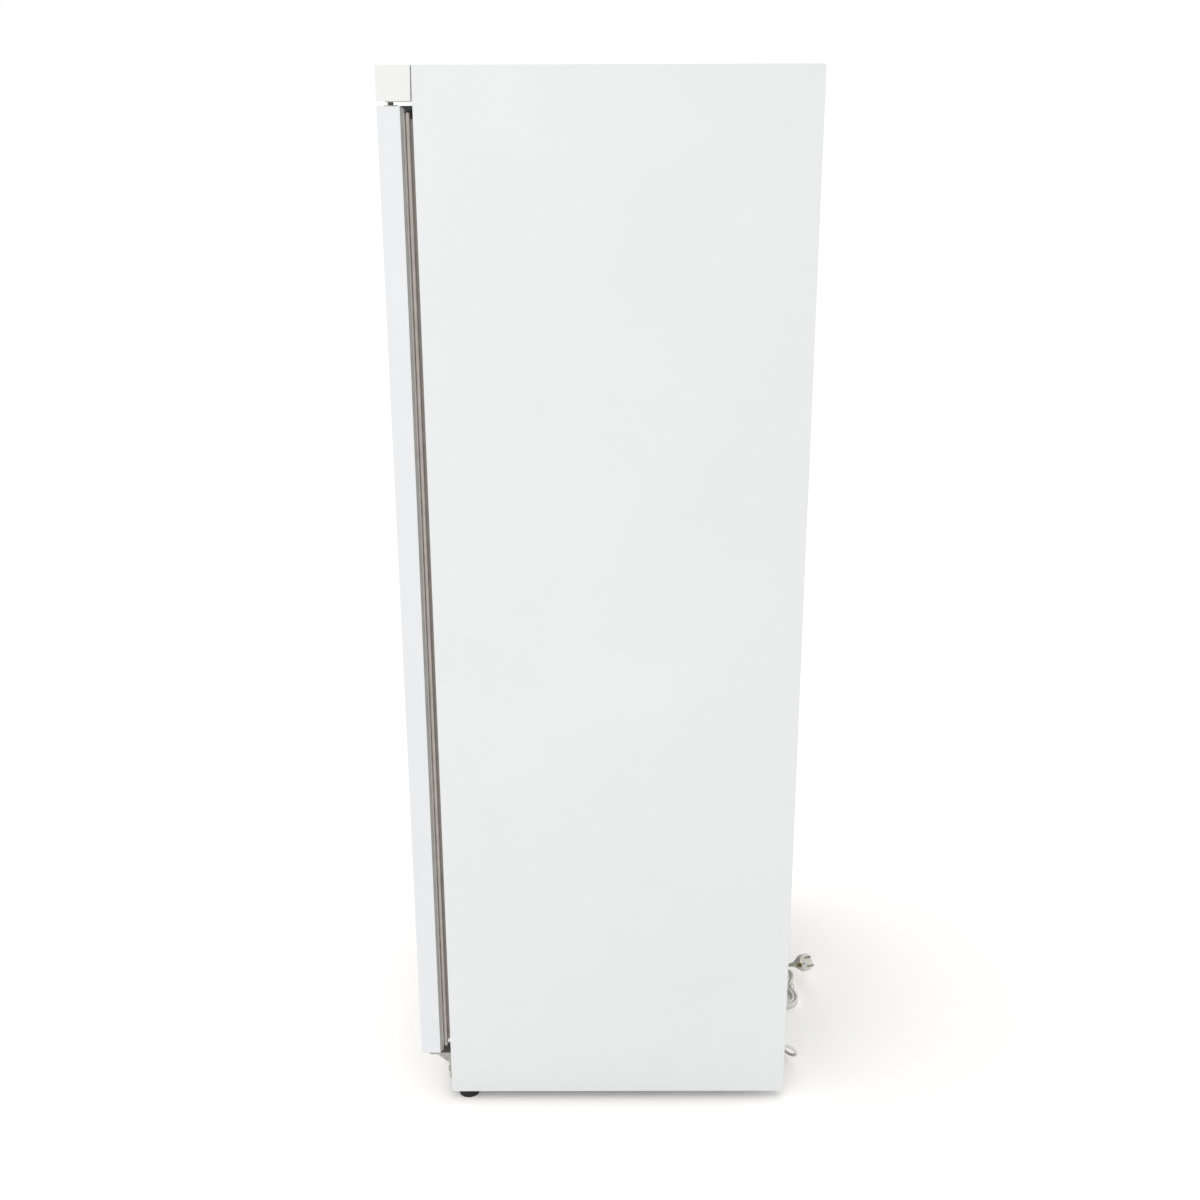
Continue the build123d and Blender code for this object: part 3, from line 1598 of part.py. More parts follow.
right_panel = side_panel()
save("side_panel_right", right_panel)
save("side_panel_left", mirrored(right_panel))
save("top_panel", top_panel())
save("rear_panel", rear_panel())
save("front_top_rail", front_top_rail())
save("front_plinth", front_plinth())
save("inner_liner", inner_liner())
save("cabinet_insulation", *insulation())
save("drain_gutter_and_tube", *drain())
save("base_frame", base_frame())
save("compressor_tray", compressor_tray())
for side_name, side in (("left", -1), ("right", 1)):
    save(f"front_foot_{side_name}", front_foot(side * foot_x()))
    save(f"rear_roller_{side_name}", roller(side * roller_x()))
fork_places = (-roller_x(), roller_x())
save("rear_roller_forks", *[roller_bracket(x) for x in fork_places], *[roller_axle(x) for x in fork_places])

save("door_skin", door_skin())
save("door_insulation", door_insulation())
save("door_liner", door_liner())
save("door_seal", door_seal())
save("door_grip", door_grip())
save("lock_housing", lock_housing())
save("lock_barrel", lock_barrel())
save("hinge_bushes", *hinge_bushes())
save("top_hinge", top_hinge())
save("bottom_hinge", bottom_hinge())
save("hinge_screws", *hinge_screws())

save("canopy", canopy())
save("controller", controller())
for number, name in enumerate(button_names):
    save(name, button(number))

right_ladders = [ladder(y) for y in ladder_places]
save("shelf_ladders", *right_ladders, *[mirrored(piece) for piece in right_ladders])
lowest_shelf = shelf(0)
for level in range(shelf_count):
    save(f"shelf_{level + 1}", Pos(0, 0, shelf_z(level) - shelf_z(0)) * lowest_shelf)
save("shelf_clips", *shelf_clips())

save("evaporator_cover", evaporator_cover())
save("evaporator_coil", *evaporator_coil())
save("fan_motor", fan_motor())
save("fan_blades", fan_blades())
save("light_housing", light_housing())
save("light_diffuser", light_diffuser())
save("door_switch_plunger", door_switch_plunger())

save("condenser", *condenser())
save("condenser_brackets", *condenser_brackets())
save("compressor", compressor())
save("compressor_grommets", *compressor_grommets())
save("terminal_box", terminal_box())
save("inner_lead", inner_lead())
save("evaporation_pan", evaporation_pan())
save("filter_drier", filter_drier())
save("refrigerant_pipes", *refrigerant_pipes())

save("cord_gland", cord_gland())
lead, lead_length = free_cord("cord_lead", lead_points())
save("cord_lead", lead)
hank, hank_length = cord_hank()
save("cord_hank", hank)
tail, tail_length = free_cord("cord_tail", tail_points())
save("cord_tail", tail)
save("cord_tie", cord_tie())
save("plug", plug())
print("cord length outside the cabinet", round(lead_length + hank_length + tail_length))
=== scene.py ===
# Upright single-door refrigerator, white, seen from its hinge side.
import math

import bpy
from mathutils import Matrix, Vector


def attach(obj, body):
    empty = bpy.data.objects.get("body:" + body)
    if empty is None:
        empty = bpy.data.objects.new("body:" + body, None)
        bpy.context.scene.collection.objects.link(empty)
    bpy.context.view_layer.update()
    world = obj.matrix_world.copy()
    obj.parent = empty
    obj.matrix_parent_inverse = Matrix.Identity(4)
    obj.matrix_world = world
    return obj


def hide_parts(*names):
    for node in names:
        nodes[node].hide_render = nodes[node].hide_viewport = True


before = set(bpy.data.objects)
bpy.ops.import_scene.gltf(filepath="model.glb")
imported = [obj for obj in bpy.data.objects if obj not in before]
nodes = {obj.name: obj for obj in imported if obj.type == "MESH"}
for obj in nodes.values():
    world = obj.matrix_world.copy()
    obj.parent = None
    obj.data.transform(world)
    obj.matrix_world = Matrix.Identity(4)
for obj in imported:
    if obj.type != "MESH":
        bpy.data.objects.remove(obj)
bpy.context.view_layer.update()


print("stage: frame loaded,", len(nodes), "nodes")


def metres(*values):  # sizes are written in millimetres, Blender works in metres
    return tuple(value / 1000 for value in values)


def hexColour(code):  # sRGB hex to the linear values that the shaders mix
    parts = [int(code[i : i + 2], 16) / 255 for i in (0, 2, 4)]
    return tuple(p / 12.92 if p <= 0.04045 else ((p + 0.055) / 1.055) ** 2.4 for p in parts) + (1.0,)


def addNode(tree, kind, settings=None, links=None):  # one node with its settings and links
    node = tree.nodes.new("ShaderNode" + kind)
    for name, value in (settings or {}).items():
        if isinstance(name, str) and hasattr(node, name):
            setattr(node, name, value)
        else:
            node.inputs[name].default_value = value
    for name, source in (links or {}).items():
        tree.links.new(source, node.inputs[name])
    return node


cameraSettings = {
    "place": (2.8332, 0.0038, 1.8380),
    "down": math.radians(18.444),
    "swing": math.radians(0.165),
    "roll": math.radians(-0.187),
    "lens": 44.701,
    "sensor": 36.0,
    "farthest": 60,
}


def makeCamera():
    bpy.ops.object.camera_add(location=cameraSettings["place"])
    camera = bpy.context.object
    turn = Matrix.Rotation(math.radians(90) + cameraSettings["swing"], 3, "Z")
    turn = turn @ Matrix.Rotation(math.radians(90) - cameraSettings["down"], 3, "X")
    camera.rotation_euler = (turn @ Matrix.Rotation(cameraSettings["roll"], 3, "Z")).to_euler()
    camera.data.lens = cameraSettings["lens"]
    camera.data.sensor_width = cameraSettings["sensor"]
    camera.data.clip_end = cameraSettings["farthest"]
    bpy.context.scene.camera = camera


makeCamera()
print("stage: camera")


# One dictionary for each finish. Sizes are in millimetres, colours are sRGB hex.
# mottle: size of the soft colour change; grain: size of the surface relief; height: how far it stands;
# speck: how much of the tint gathers in small flecks, as dust, wear or handling marks do.
finishes = {
    # polyester powder coat on sheet steel, sprayed and baked: satin white, orange peel under a low light
    "powderCoatedSteel": dict(
        low="E3E4E5", high="E6E7E8", mottle=330, rough=(0.30, 0.38), grain=3.2, height=0.05,
        pattern="peel", tint="D6D6D2", speck=0.10,
    ),
    # the same coat on the door's skin, from another batch and a touch cooler
    "powderCoatedDoor": dict(
        low="E2E3E6", high="E5E6E9", mottle=300, rough=(0.28, 0.36), grain=3.2, height=0.05,
        pattern="peel", tint="D6D6D4", speck=0.10,
    ),
    # high-impact polystyrene sheet, vacuum formed: glossy white, thin and wavy over its form
    "formedPolystyrene": dict(
        low="DFE2E3", high="E4E6E7", mottle=160, rough=(0.18, 0.25), grain=11, height=0.10,
        pattern="peel", tint="D4D6D4", speck=0.06, ior=1.57,
    ),
    # ABS, injection moulded in a spark-eroded mould: satin warm white, fine leather grain
    "grainedAbs": dict(
        low="E7E7E6", high="EAEAE9", mottle=70, rough=(0.36, 0.46), grain=1.1, height=0.03,
        pattern="leather", tint="D8D8D0", speck=0.10, ior=1.53,
    ),
    # ABS, moulded white for the small housings inside: satin, even
    "mouldedAbs": dict(
        low="DEDFDC", high="E8E8E4", mottle=40, rough=(0.32, 0.42), grain=1.4, height=0.025,
        pattern="leather", tint="CBCBC2", speck=0.14, ior=1.53,
    ),
    # steel strip, hot-dip galvanised: grey crystals, each with its own tone
    "galvanisedSteel": dict(
        low="A6ABAC", high="BFC3C4", mottle=8, rough=(0.30, 0.48), grain=1.6, height=0.02,
        pattern="spangle", tint="8E9190", speck=0.25, metal=0.92,
    ),
    # steel, zinc plated and clear passivated, rolled sheet: light warm grey with rolling lines
    "zincPlatedSteel": dict(
        low="A3A29D", high="C6C5C0", mottle=9, rough=(0.26, 0.40), grain=0.7, height=0.012,
        pattern="rolled", tint="8E8C84", speck=0.35, metal=0.85,
    ),
    # turned steel pin, painted dark grey brown as painted shade for the gap around the hinge where the
    # pin stands
    "steelPinPaintedShade": dict(
        low="5E5850", high="7A746A", mottle=4, rough=(0.30, 0.45), grain=0.6, height=0.01,
        pattern="rolled", tint="3E3932", speck=0.40, metal=0.6,
    ),
    # the rim of the same polystyrene, painted dark grey as painted shade for the deep gap by the seal,
    # with a few small flecks
    "rimPaintedShade": dict(
        low="8A8783", high="9B9894", mottle=40, rough=(0.40, 0.55), grain=5, height=0.06,
        pattern="peel", tint="76736F", speck=0.30, ior=1.57,
    ),
    # polyurethane foam, foamed in place: matt cream, small open cells under a thin skin
    "polyurethaneFoam": dict(
        low="D9C588", high="EAD9A6", mottle=16, rough=(0.85, 0.95), grain=1.8, height=0.35,
        pattern="foam", tint="B99F5E", speck=0.45, ior=1.4,
    ),
    # plasticised PVC, extruded: warm grey, waxy, dust lies along it
    "extrudedSoftPvc": dict(
        low="A8A099", high="BDB5AD", mottle=30, rough=(0.48, 0.62), grain=1.6, height=0.03,
        pattern="peel", tint="847C74", speck=0.40, ior=1.53,
    ),
    # ABS, moulded with a coarse grain for the hand: light grey, a little polished by fingers
    "gripAbs": dict(
        low="BFC2C4", high="CBCED0", mottle=26, rough=(0.34, 0.52), grain=1.3, height=0.05,
        pattern="leather", tint="A9ABAB", speck=0.25, ior=1.53,
    ),
    # steel wire dipped in polyethylene powder: white, softly wavy, thick at the joints
    "dippedWire": dict(
        low="DFE2E3", high="E9EBEB", mottle=22, rough=(0.24, 0.36), grain=4.5, height=0.16,
        pattern="peel", tint="C4C5C0", speck=0.20, ior=1.51,
    ),
    # polyamide, injection moulded: milky white, satin
    "mouldedNylon": dict(
        low="D9D8D1", high="E6E5DF", mottle=11, rough=(0.34, 0.46), grain=1.2, height=0.02,
        pattern="peel", tint="C2BFB2", speck=0.22, ior=1.53,
    ),
    # polypropylene, moulded: natural translucent white, waxy
    "naturalPolypropylene": dict(
        low="D2D5D0", high="DFE1DC", mottle=45, rough=(0.30, 0.44), grain=2.2, height=0.04,
        pattern="peel", tint="B5B4A6", speck=0.30, ior=1.49, through=0.12,
    ),
    # polycarbonate with a frosted inner face, moulded: lets some light through and blurs what is behind
    "frostedPolycarbonate": dict(
        low="E6E9E7", high="F0F2F0", mottle=20, rough=(0.30, 0.42), grain=1.5, height=0.03,
        pattern="peel", tint="DDDFDC", speck=0.05, ior=1.58, through=0.45,
    ),
    # ABS, moulded black: satin with a fine grain
    "blackAbs": dict(
        low="151617", high="222325", mottle=14, rough=(0.32, 0.46), grain=1.0, height=0.02,
        pattern="leather", tint="3A3A39", speck=0.25, ior=1.53,
    ),
    # silicone rubber, compression moulded: dark grey, matt, silky
    "siliconeKeys": dict(
        low="505356", high="5E6164", mottle=4, rough=(0.50, 0.60), grain=0.6, height=0.010,
        pattern="peel", tint="6E7072", speck=0.20, ior=1.42,
    ),
    # polyethylene, moulded black: waxy, scuffed where it meets the floor
    "blackPolyethylene": dict(
        low="0F0E0C", high="1C1A17", mottle=7, rough=(0.48, 0.66), grain=1.6, height=0.05,
        pattern="peel", tint="3A3731", speck=0.25, ior=1.51,
    ),
    # glass-filled polyamide, moulded black: dull with short fibres at the surface
    "filledNylon": dict(
        low="19191A", high="2B2B2C", mottle=6, rough=(0.45, 0.62), grain=0.8, height=0.03,
        pattern="rolled", tint="4C4B48", speck=0.30, ior=1.53,
    ),
    # black enamel, dipped and stoved: glossy, with slow sags and a little dust on top
    "stovedEnamel": dict(
        low="0C0C0D", high="1A1B1C", mottle=34, rough=(0.16, 0.32), grain=7, height=0.08,
        pattern="peel", tint="44433F", speck=0.22, ior=1.5, coat=0.4,
    ),
    # pressed and painted motor shell: dark grey, satin
    "paintedMotorShell": dict(
        low="3A3C3F", high="4B4D50", mottle=12, rough=(0.36, 0.50), grain=1.4, height=0.05,
        pattern="peel", tint="686967", speck=0.25, ior=1.5,
    ),
    # nitrile rubber, moulded: matt black with a grey bloom
    "mouldedRubber": dict(
        low="141414", high="272727", mottle=9, rough=(0.66, 0.80), grain=1.1, height=0.04,
        pattern="peel", tint="4A4A48", speck=0.30, ior=1.52,
    ),
    # copper tube, drawn and left bare: orange brown, browner where it was brazed or handled
    "drawnCopper": dict(
        low="8E4F33", high="CB8963", mottle=34, rough=(0.24, 0.44), grain=1.0, height=0.012,
        pattern="rolled", tint="5B3A2A", speck=0.35, metal=1.0,
    ),
    # aluminium foil fins and tube, mill finish: pale grey and dull
    "millAluminium": dict(
        low="B2B5B7", high="D0D3D4", mottle=10, rough=(0.32, 0.48), grain=0.8, height=0.015,
        pattern="rolled", tint="979A9B", speck=0.25, metal=0.95,
    ),
    # plasticised PVC sheath, extruded over the cores: warm white, satin, faintly wavy
    "cordPvc": dict(
        low="E3E1DB", high="EBE9E3", mottle=45, rough=(0.38, 0.50), grain=2.0, height=0.05,
        pattern="peel", tint="B5B0A5", speck=0.25, ior=1.53,
    ),
    # harder PVC, moulded over the plug's bridge: warm white with a fine grain
    "plugPvc": dict(
        low="D8D5CC", high="E4E1D9", mottle=16, rough=(0.32, 0.44), grain=1.0, height=0.02,
        pattern="leather", tint="B7B2A6", speck=0.22, ior=1.53,
    ),
    # brass, turned and nickel plated: warm silver, rubbed along its length
    "nickelPlatedBrass": dict(
        low="A9A399", high="D0CBC0", mottle=3, rough=(0.14, 0.26), grain=0.4, height=0.006,
        pattern="rolled", tint="7C766B", speck=0.30, metal=1.0,
    ),
    # brass strip, stamped and bare: dull yellow brown
    "stampedBrass": dict(
        low="8C6F3A", high="BE9C58", mottle=4, rough=(0.26, 0.40), grain=0.5, height=0.008,
        pattern="rolled", tint="5D4A2A", speck=0.35, metal=1.0,
    ),
    # black strip with fine pores: a dark sheet put in the slit behind the canopy as painted shade
    "blackStripPaintedShade": dict(
        low="0E0E0E", high="1D1D1C", mottle=5, rough=(0.80, 0.92), grain=0.6, height=0.06,
        pattern="foam", tint="2E2E2C", speck=0.30, ior=1.5,
    ),
    # smoked red acrylic, cast and polished: dark, but lets the light of the segments through
    "smokedAcrylic": dict(
        low="8C4038", high="934840", mottle=20, rough=(0.02, 0.05), grain=4, height=0.004,
        pattern="peel", tint="7A3A33", speck=0.04, ior=1.49, through=0.96,
    ),
    # epoxy light segments, not lit: dull grey red
    "darkSegment": dict(
        low="2A1412", high="341A17", mottle=2, rough=(0.40, 0.50), grain=0.4, height=0.004,
        pattern="peel", tint="3E211E", speck=0.10, ior=1.5,
    ),
    # epoxy light segments, lit: an even clear red
    "litSegment": dict(
        low="E02A1C", high="F03A28", mottle=2, rough=(0.40, 0.50), grain=0.4, height=0.004,
        pattern="peel", tint="FF5A40", speck=0.10, ior=1.5, glow=9.0,
    ),
}


# how the reliefs are drawn, apart from the size of their grain
reliefSettings = {
    "leatherScatter": 0.9,
    "foamCoarser": 4,
    "rolledStretch": (1.0, 1.0, 0.06),
    "peelCoarser": 7,
    "peelFine": 0.35,
    "strength": 0.6,
}

# the limits between which each noise is spread out
wearSettings = {
    "tone": (0.3, 0.7),
    "fleck": (0.50, 0.75),
    "gloss": (0.25, 0.75),
    "smallestFleck": 1.5,
    "fleckDulls": 0.5,
}


def addNoise(tree, place, size, detail, roughness=0.5):  # size in millimetres
    settings = {"Scale": 1000 / size, "Detail": detail, "Roughness": roughness}
    return addNode(tree, "TexNoise", settings, {"Vector": place}).outputs["Fac"]


def addCells(tree, place, size, scatter=1.0):  # size in millimetres
    return addNode(tree, "TexVoronoi", {"Scale": 1000 / size, "Randomness": scatter}, {"Vector": place})


def addMath(tree, operation, links, settings=None):
    return addNode(tree, "Math", {"operation": operation, **(settings or {})}, links).outputs[0]


def addSpread(tree, value, limits, settings):  # the values between the limits, spread out
    settings = {"From Min": limits[0], "From Max": limits[1], **settings}
    return addNode(tree, "MapRange", settings, {"Value": value}).outputs[0]


def addRelief(tree, place, pattern, grain):  # the height that the bump reads, from 0 to 1
    relief = reliefSettings
    if pattern == "leather":
        return addCells(tree, place, grain, relief["leatherScatter"]).outputs["Distance"]
    if pattern == "foam":  # round cells with a rougher noise over them
        cells = addCells(tree, place, grain).outputs["Distance"]
        coarse = addNoise(tree, place, grain * relief["foamCoarser"], detail=4.0)
        return addMath(tree, "MULTIPLY", {0: cells, 1: coarse})
    if pattern == "rolled":  # lines drawn out along the sheet
        drawn = addNode(tree, "Mapping", {"Scale": relief["rolledStretch"]}, {"Vector": place})
        return addNoise(tree, drawn.outputs[0], grain, detail=2.0)
    if pattern == "spangle":
        return addNoise(tree, place, grain, detail=3.0)
    fine = addNoise(tree, place, grain, detail=1.5)
    slow = addNoise(tree, place, grain * relief["peelCoarser"], detail=1.0)
    return addMath(tree, "MULTIPLY_ADD", {0: fine, 2: slow}, {1: relief["peelFine"]})


def makeFinish(
    name, low, high, mottle, rough, grain, height, pattern, tint, speck,
    ior=1.5, metal=0.0, coat=0.0, through=0.0, glow=0.0,
):
    material = bpy.data.materials.new(name)
    material.use_nodes = True
    tree = material.node_tree
    tree.nodes.clear()
    place = addNode(tree, "TexCoord").outputs["Object"]
    wear = wearSettings
    soft = addNoise(tree, place, mottle, detail=4.0, roughness=0.55)
    amount = soft
    if pattern == "spangle":  # each crystal has its own grey
        amount = addCells(tree, place, mottle).outputs["Color"]
    shade = addSpread(tree, amount, wear["tone"], {})
    tones = {"data_type": "RGBA", 6: hexColour(low), 7: hexColour(high)}
    colour = addNode(tree, "Mix", tones, {0: shade}).outputs[2]
    fleck = addNoise(tree, place, max(wear["smallestFleck"], grain), detail=5.0, roughness=0.7)
    fleck = addSpread(tree, fleck, wear["fleck"], {"To Max": speck})
    dirt = {"data_type": "RGBA", 7: hexColour(tint)}
    colour = addNode(tree, "Mix", dirt, {0: fleck, 6: colour}).outputs[2]
    relief = addRelief(tree, place, pattern, grain)
    stand = {"Strength": reliefSettings["strength"], "Distance": height / 1000}
    bump = addNode(tree, "Bump", stand, {"Height": relief})
    worn = addSpread(tree, soft, wear["gloss"], {"To Min": rough[0], "To Max": rough[1]})
    worn = addMath(tree, "MULTIPLY_ADD", {0: fleck, 2: worn}, {1: wear["fleckDulls"]})
    weights = {
        "Metallic": metal,
        "Coat Weight": coat,
        "Transmission Weight": through,
        "Emission Strength": glow,
    }
    drawn = {"Base Color": colour, "Roughness": worn, "Normal": bump.outputs[0]}
    shader = addNode(tree, "BsdfPrincipled", weights, drawn)
    if not metal:
        shader.inputs["IOR"].default_value = ior
    if glow:
        shader.inputs["Emission Color"].default_value = hexColour(high)
    addNode(tree, "OutputMaterial", links={"Surface": shader.outputs[0]})
    return material


materials = {name: makeFinish(name, **finish) for name, finish in finishes.items()}

# which finish each CAD node is given
nodeFinishes = {
    "powderCoatedSteel": (
        "side_panel_left",
        "side_panel_right",
        "top_panel",
        "front_top_rail",
        "front_plinth",
    ),
    "powderCoatedDoor": ("door_skin",),
    "formedPolystyrene": ("inner_liner", "door_liner"),
    "grainedAbs": ("canopy",),
    "galvanisedSteel": ("rear_panel", "base_frame", "compressor_tray", "rear_roller_forks"),
    "zincPlatedSteel": ("top_hinge", "bottom_hinge", "hinge_screws", "lock_barrel"),
    "polyurethaneFoam": ("cabinet_insulation", "door_insulation"),
    "extrudedSoftPvc": ("door_seal",),
    "gripAbs": ("door_grip", "lock_housing"),
    "dippedWire": ("shelf_1", "shelf_2", "shelf_3", "shelf_4"),
    "mouldedNylon": ("shelf_clips", "hinge_bushes", "door_switch_plunger"),
    "mouldedAbs": ("shelf_ladders", "evaporator_cover", "light_housing", "drain_gutter_and_tube"),
    "naturalPolypropylene": ("evaporation_pan",),
    "frostedPolycarbonate": ("light_diffuser",),
    "blackAbs": ("controller", "terminal_box", "fan_blades"),
    "siliconeKeys": ("button_set", "button_down", "button_up"),
    "blackPolyethylene": ("front_foot_left", "front_foot_right"),
    "filledNylon": ("rear_roller_left", "rear_roller_right"),
    "stovedEnamel": ("condenser", "compressor", "condenser_brackets"),
    "paintedMotorShell": ("fan_motor",),
    "mouldedRubber": ("compressor_grommets",),
    "drawnCopper": ("refrigerant_pipes", "filter_drier"),
    "millAluminium": ("evaporator_coil",),
    "cordPvc": ("cord_gland", "inner_lead"),
    "plugPvc": ("plug", "cord_tie"),
}


def dressNodes():
    for finish, names in nodeFinishes.items():
        for name in names:
            slots = nodes[name].data.materials
            slots.clear()
            slots.append(materials[finish])
    left = [name for name in nodes if name not in sum(nodeFinishes.values(), ())]
    print("stage: nodes dressed, left for pieces:", left)


dressNodes()

# parts of a node that have a finish of their own, in millimetres
spots = {
    "rimDepth": (-312.9, -308.0),
    "rimSide": 381.0,
    "rimFacing": 0.9,
    "pinAxis": (366.5, -330.0),
    "pinRadius": 5.0,
    "pinFacing": 0.5,
}


def dressFaces(name, finish, chosen):
    mesh = nodes[name].data
    mesh.materials.append(materials[finish])
    count = 0
    for face in mesh.polygons:
        if chosen(face.center * 1000, face.normal):
            face.material_index = 1
            count += 1
    print("stage:", name, "has", count, "faces of", finish)


def onPin(place, normal):
    x, y = spots["pinAxis"]
    near = math.hypot(place.x - x, place.y - y) < spots["pinRadius"]
    return near and abs(normal.z) < spots["pinFacing"]


def onRim(place, normal):
    low, high = spots["rimDepth"]
    near = low < place.y < high and abs(place.x) > spots["rimSide"]
    return near and abs(normal.y) < spots["rimFacing"]


# the hinge pins are painted dark grey brown: painted shade
dressFaces("top_hinge", "steelPinPaintedShade", onPin)
dressFaces("bottom_hinge", "steelPinPaintedShade", onPin)
# the door liner's rim is painted dark grey: painted shade for the gap by the seal
dressFaces("door_liner", "rimPaintedShade", onRim)


# the free cord repeats the route of the solids, behind the cabinet
cordSettings = {
    "diameter": 6.6,
    "length": 1.80,
    "exit": (300, 357.5, 56),
    # from the gland down to the floor and along the back
    "lead": (
        (300, 357.5, 56),
        (300, 367.5, 56),
        (299.4, 377.9, 51.3),
        (297.1, 384.4, 42),
        (291.7, 385.9, 31.3),
        (282.6, 383.1, 22.6),
        (270.2, 377.9, 15),
        (254.4, 371.8, 9.8),
        (234, 364.7, 6.4),
        (207, 358.5, 4.8),
        (175, 355.5, 4.7),
        (139, 353.9, 4.8),
        (114, 353.7, 4.8),
        (90.6, 353.5, 4.7),
    ),
    # out of the hank and up into the plug
    "tail": (
        (-40.6, 353.5, 11.8),
        (-56.1, 356.9, 7.2),
        (-68.6, 368.5, 5.2),
        (-73, 386.5, 4.6),
        (-70.6, 401.1, 5.9),
        (-65.7, 410.7, 9.4),
        (-59.2, 416, 14.9),
    ),
    "middle": (18, 386.5),
    "halfRun": 42,
    "halfWidth": 33,
    "step": 7.6,
    "waist": 8,
    "waistRun": (28, 10),
    "fullness": 1.08,
    "layers": (4.7, 11.8),
    "crossing": (0.3, 0.7),
    "turn": (15, 180, 30),
    "runs": 9,
    "pathSteps": 8,
    "roundSteps": 6,
}


def hankRoute():
    # flattened loops drawn in at the waist, wound inwards below and outwards above
    s = cordSettings
    low, high = s["layers"]
    early, late = s["crossing"]
    last = s["runs"] - 1
    widths = [s["halfWidth"] - min(run, last - run) * s["step"] / 2 for run in range(s["runs"])]
    outer, inner = s["waistRun"]
    route = []
    for run, width in enumerate(widths):
        side = -1 if run % 2 == 0 else 1
        start = low if run <= last // 2 else high
        end = low if run < last // 2 else high
        route += [
            (-side * outer, side * width, start),
            (-side * inner, side * (width - s["waist"]), start * late + end * early),
            (side * inner, side * (width - s["waist"]), start * early + end * late),
            (side * outer, side * width, end),
        ]
        if run < last:
            radius = (width + widths[run + 1]) / 2
            shift = (width - widths[run + 1]) / 2
            for angle in range(*s["turn"]):
                turn = math.radians(angle)
                out = s["halfRun"] + s["fullness"] * radius * math.sin(turn)
                route.append((side * out, side * (shift + s["fullness"] * radius * math.cos(turn)), end))
    x, y = s["middle"]
    return [(x + px, y + py, pz) for px, py, pz in route]


def makeCord():
    s = cordSettings
    points = [*s["lead"], *hankRoute(), *s["tail"]]
    curve = bpy.data.curves.new("mains_cord", "CURVE")
    curve.dimensions = "3D"
    spline = curve.splines.new("NURBS")
    spline.points.add(len(points) - 1)
    for target, point in zip(spline.points, points):
        target.co = (*metres(*point), 1.0)
    spline.order_u = 3
    spline.use_endpoint_u = True
    spline.resolution_u = s["pathSteps"]
    curve.bevel_depth = s["diameter"] / 2000
    curve.bevel_resolution = s["roundSteps"]
    curve.use_fill_caps = True
    cord = bpy.data.objects.new("mains_cord", curve)
    bpy.context.collection.objects.link(cord)
    curve.materials.append(materials["cordPvc"])
    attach(cord, "cabinet")
    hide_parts("cord_lead", "cord_hank", "cord_tail")


makeCord()
print("stage: cord")


# the plug's pins are metal, and brass strips lie in the two slots at its sides
plugSettings = {
    "face": (-21.6, 446.9, 46.5),
    "heading": (0.648, 0.532, 0.545),
    "pinRadius": 2.6,
    "pinOffset": 9.5,
    "pinFrom": 0.2,
    "stripFrom": 15.1,
    "stripThick": 0.8,
    "stripWide": 6.4,
    "stripAlong": (-14.4, -0.6),
    "stripEdge": 0.25,
    "stripCuts": 3,
    "stripSpring": 1.3,
}


def plugMatrix():
    along = Vector(plugSettings["heading"]).normalized()
    across = along.cross(Vector((0, 0, 1))).normalized()
    up = along.cross(across)
    turn = Matrix((across, up, along)).transposed().to_4x4()
    return Matrix.Translation(metres(*plugSettings["face"])) @ turn


def clearSelection():
    if bpy.context.mode != "OBJECT":
        bpy.ops.object.mode_set(mode="OBJECT")
    bpy.ops.object.select_all(action="DESELECT")


smoothUpTo = 30  # degrees between two faces that are shaded as one


def namePiece(name, finish, body):
    # the active object becomes a piece, with its place in its mesh
    piece = bpy.context.object
    bpy.ops.object.transform_apply(location=True, rotation=True, scale=True)
    bpy.ops.object.shade_smooth_by_angle(angle=math.radians(smoothUpTo))
    piece.name = name
    piece.data.materials.clear()
    piece.data.materials.append(materials[finish])
    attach(piece, body)


def addBar(x, y, z, edge, segments=2):  # a bar between limits, with its edges rounded
    clearSelection()
    bpy.ops.mesh.primitive_cube_add(size=1, location=metres(sum(x) / 2, sum(y) / 2, sum(z) / 2))
    bpy.context.object.scale = metres(x[1] - x[0], y[1] - y[0], z[1] - z[0])
    bpy.ops.object.transform_apply(location=False, rotation=False, scale=True)
    bpy.ops.object.mode_set(mode="EDIT")
    bpy.ops.mesh.select_all(action="SELECT")
    bpy.ops.mesh.bevel(offset=edge / 1000, segments=segments, affect="EDGES")
    bpy.ops.object.mode_set(mode="OBJECT")
    return bpy.context.object


def joinBars(bars):
    clearSelection()
    for bar in bars:
        bar.select_set(True)
    bpy.context.view_layer.objects.active = bars[0]
    if len(bars) > 1:
        bpy.ops.object.join()
    return bpy.context.object


def makePlugMetal():
    s = plugSettings
    plug = nodes["plug"]
    plug.data.materials.append(materials["nickelPlatedBrass"])
    back = plugMatrix().inverted()
    for face in plug.data.polygons:
        place = back @ face.center * 1000
        near = math.hypot(place.x, abs(place.y) - s["pinOffset"])
        if place.z > s["pinFrom"] and near < s["pinRadius"]:
            face.material_index = 1
    half = s["stripWide"] / 2
    strips = []
    for side in (-1, 1):
        across = sorted((side * s["stripFrom"], side * (s["stripFrom"] + s["stripThick"])))
        strip = addBar(across, (-half, half), s["stripAlong"], s["stripEdge"])
        bpy.ops.object.mode_set(mode="EDIT")
        bpy.ops.mesh.select_all(action="SELECT")
        bpy.ops.mesh.subdivide(number_cuts=s["stripCuts"])
        bpy.ops.object.mode_set(mode="OBJECT")
        low, high = s["stripAlong"]
        for vertex in strip.data.vertices:  # the strip springs outwards in its middle
            along = max(-0.5, min(0.5, vertex.co.z * 1000 / (high - low)))
            vertex.co.x += side * s["stripSpring"] / 1000 * math.cos(math.pi * along)
        bpy.ops.object.transform_apply(location=True, rotation=True, scale=True)
        strips.append(strip)
    joinBars(strips).data.transform(plugMatrix())
    namePiece("plug_earth_strips", "stampedBrass", "cabinet")


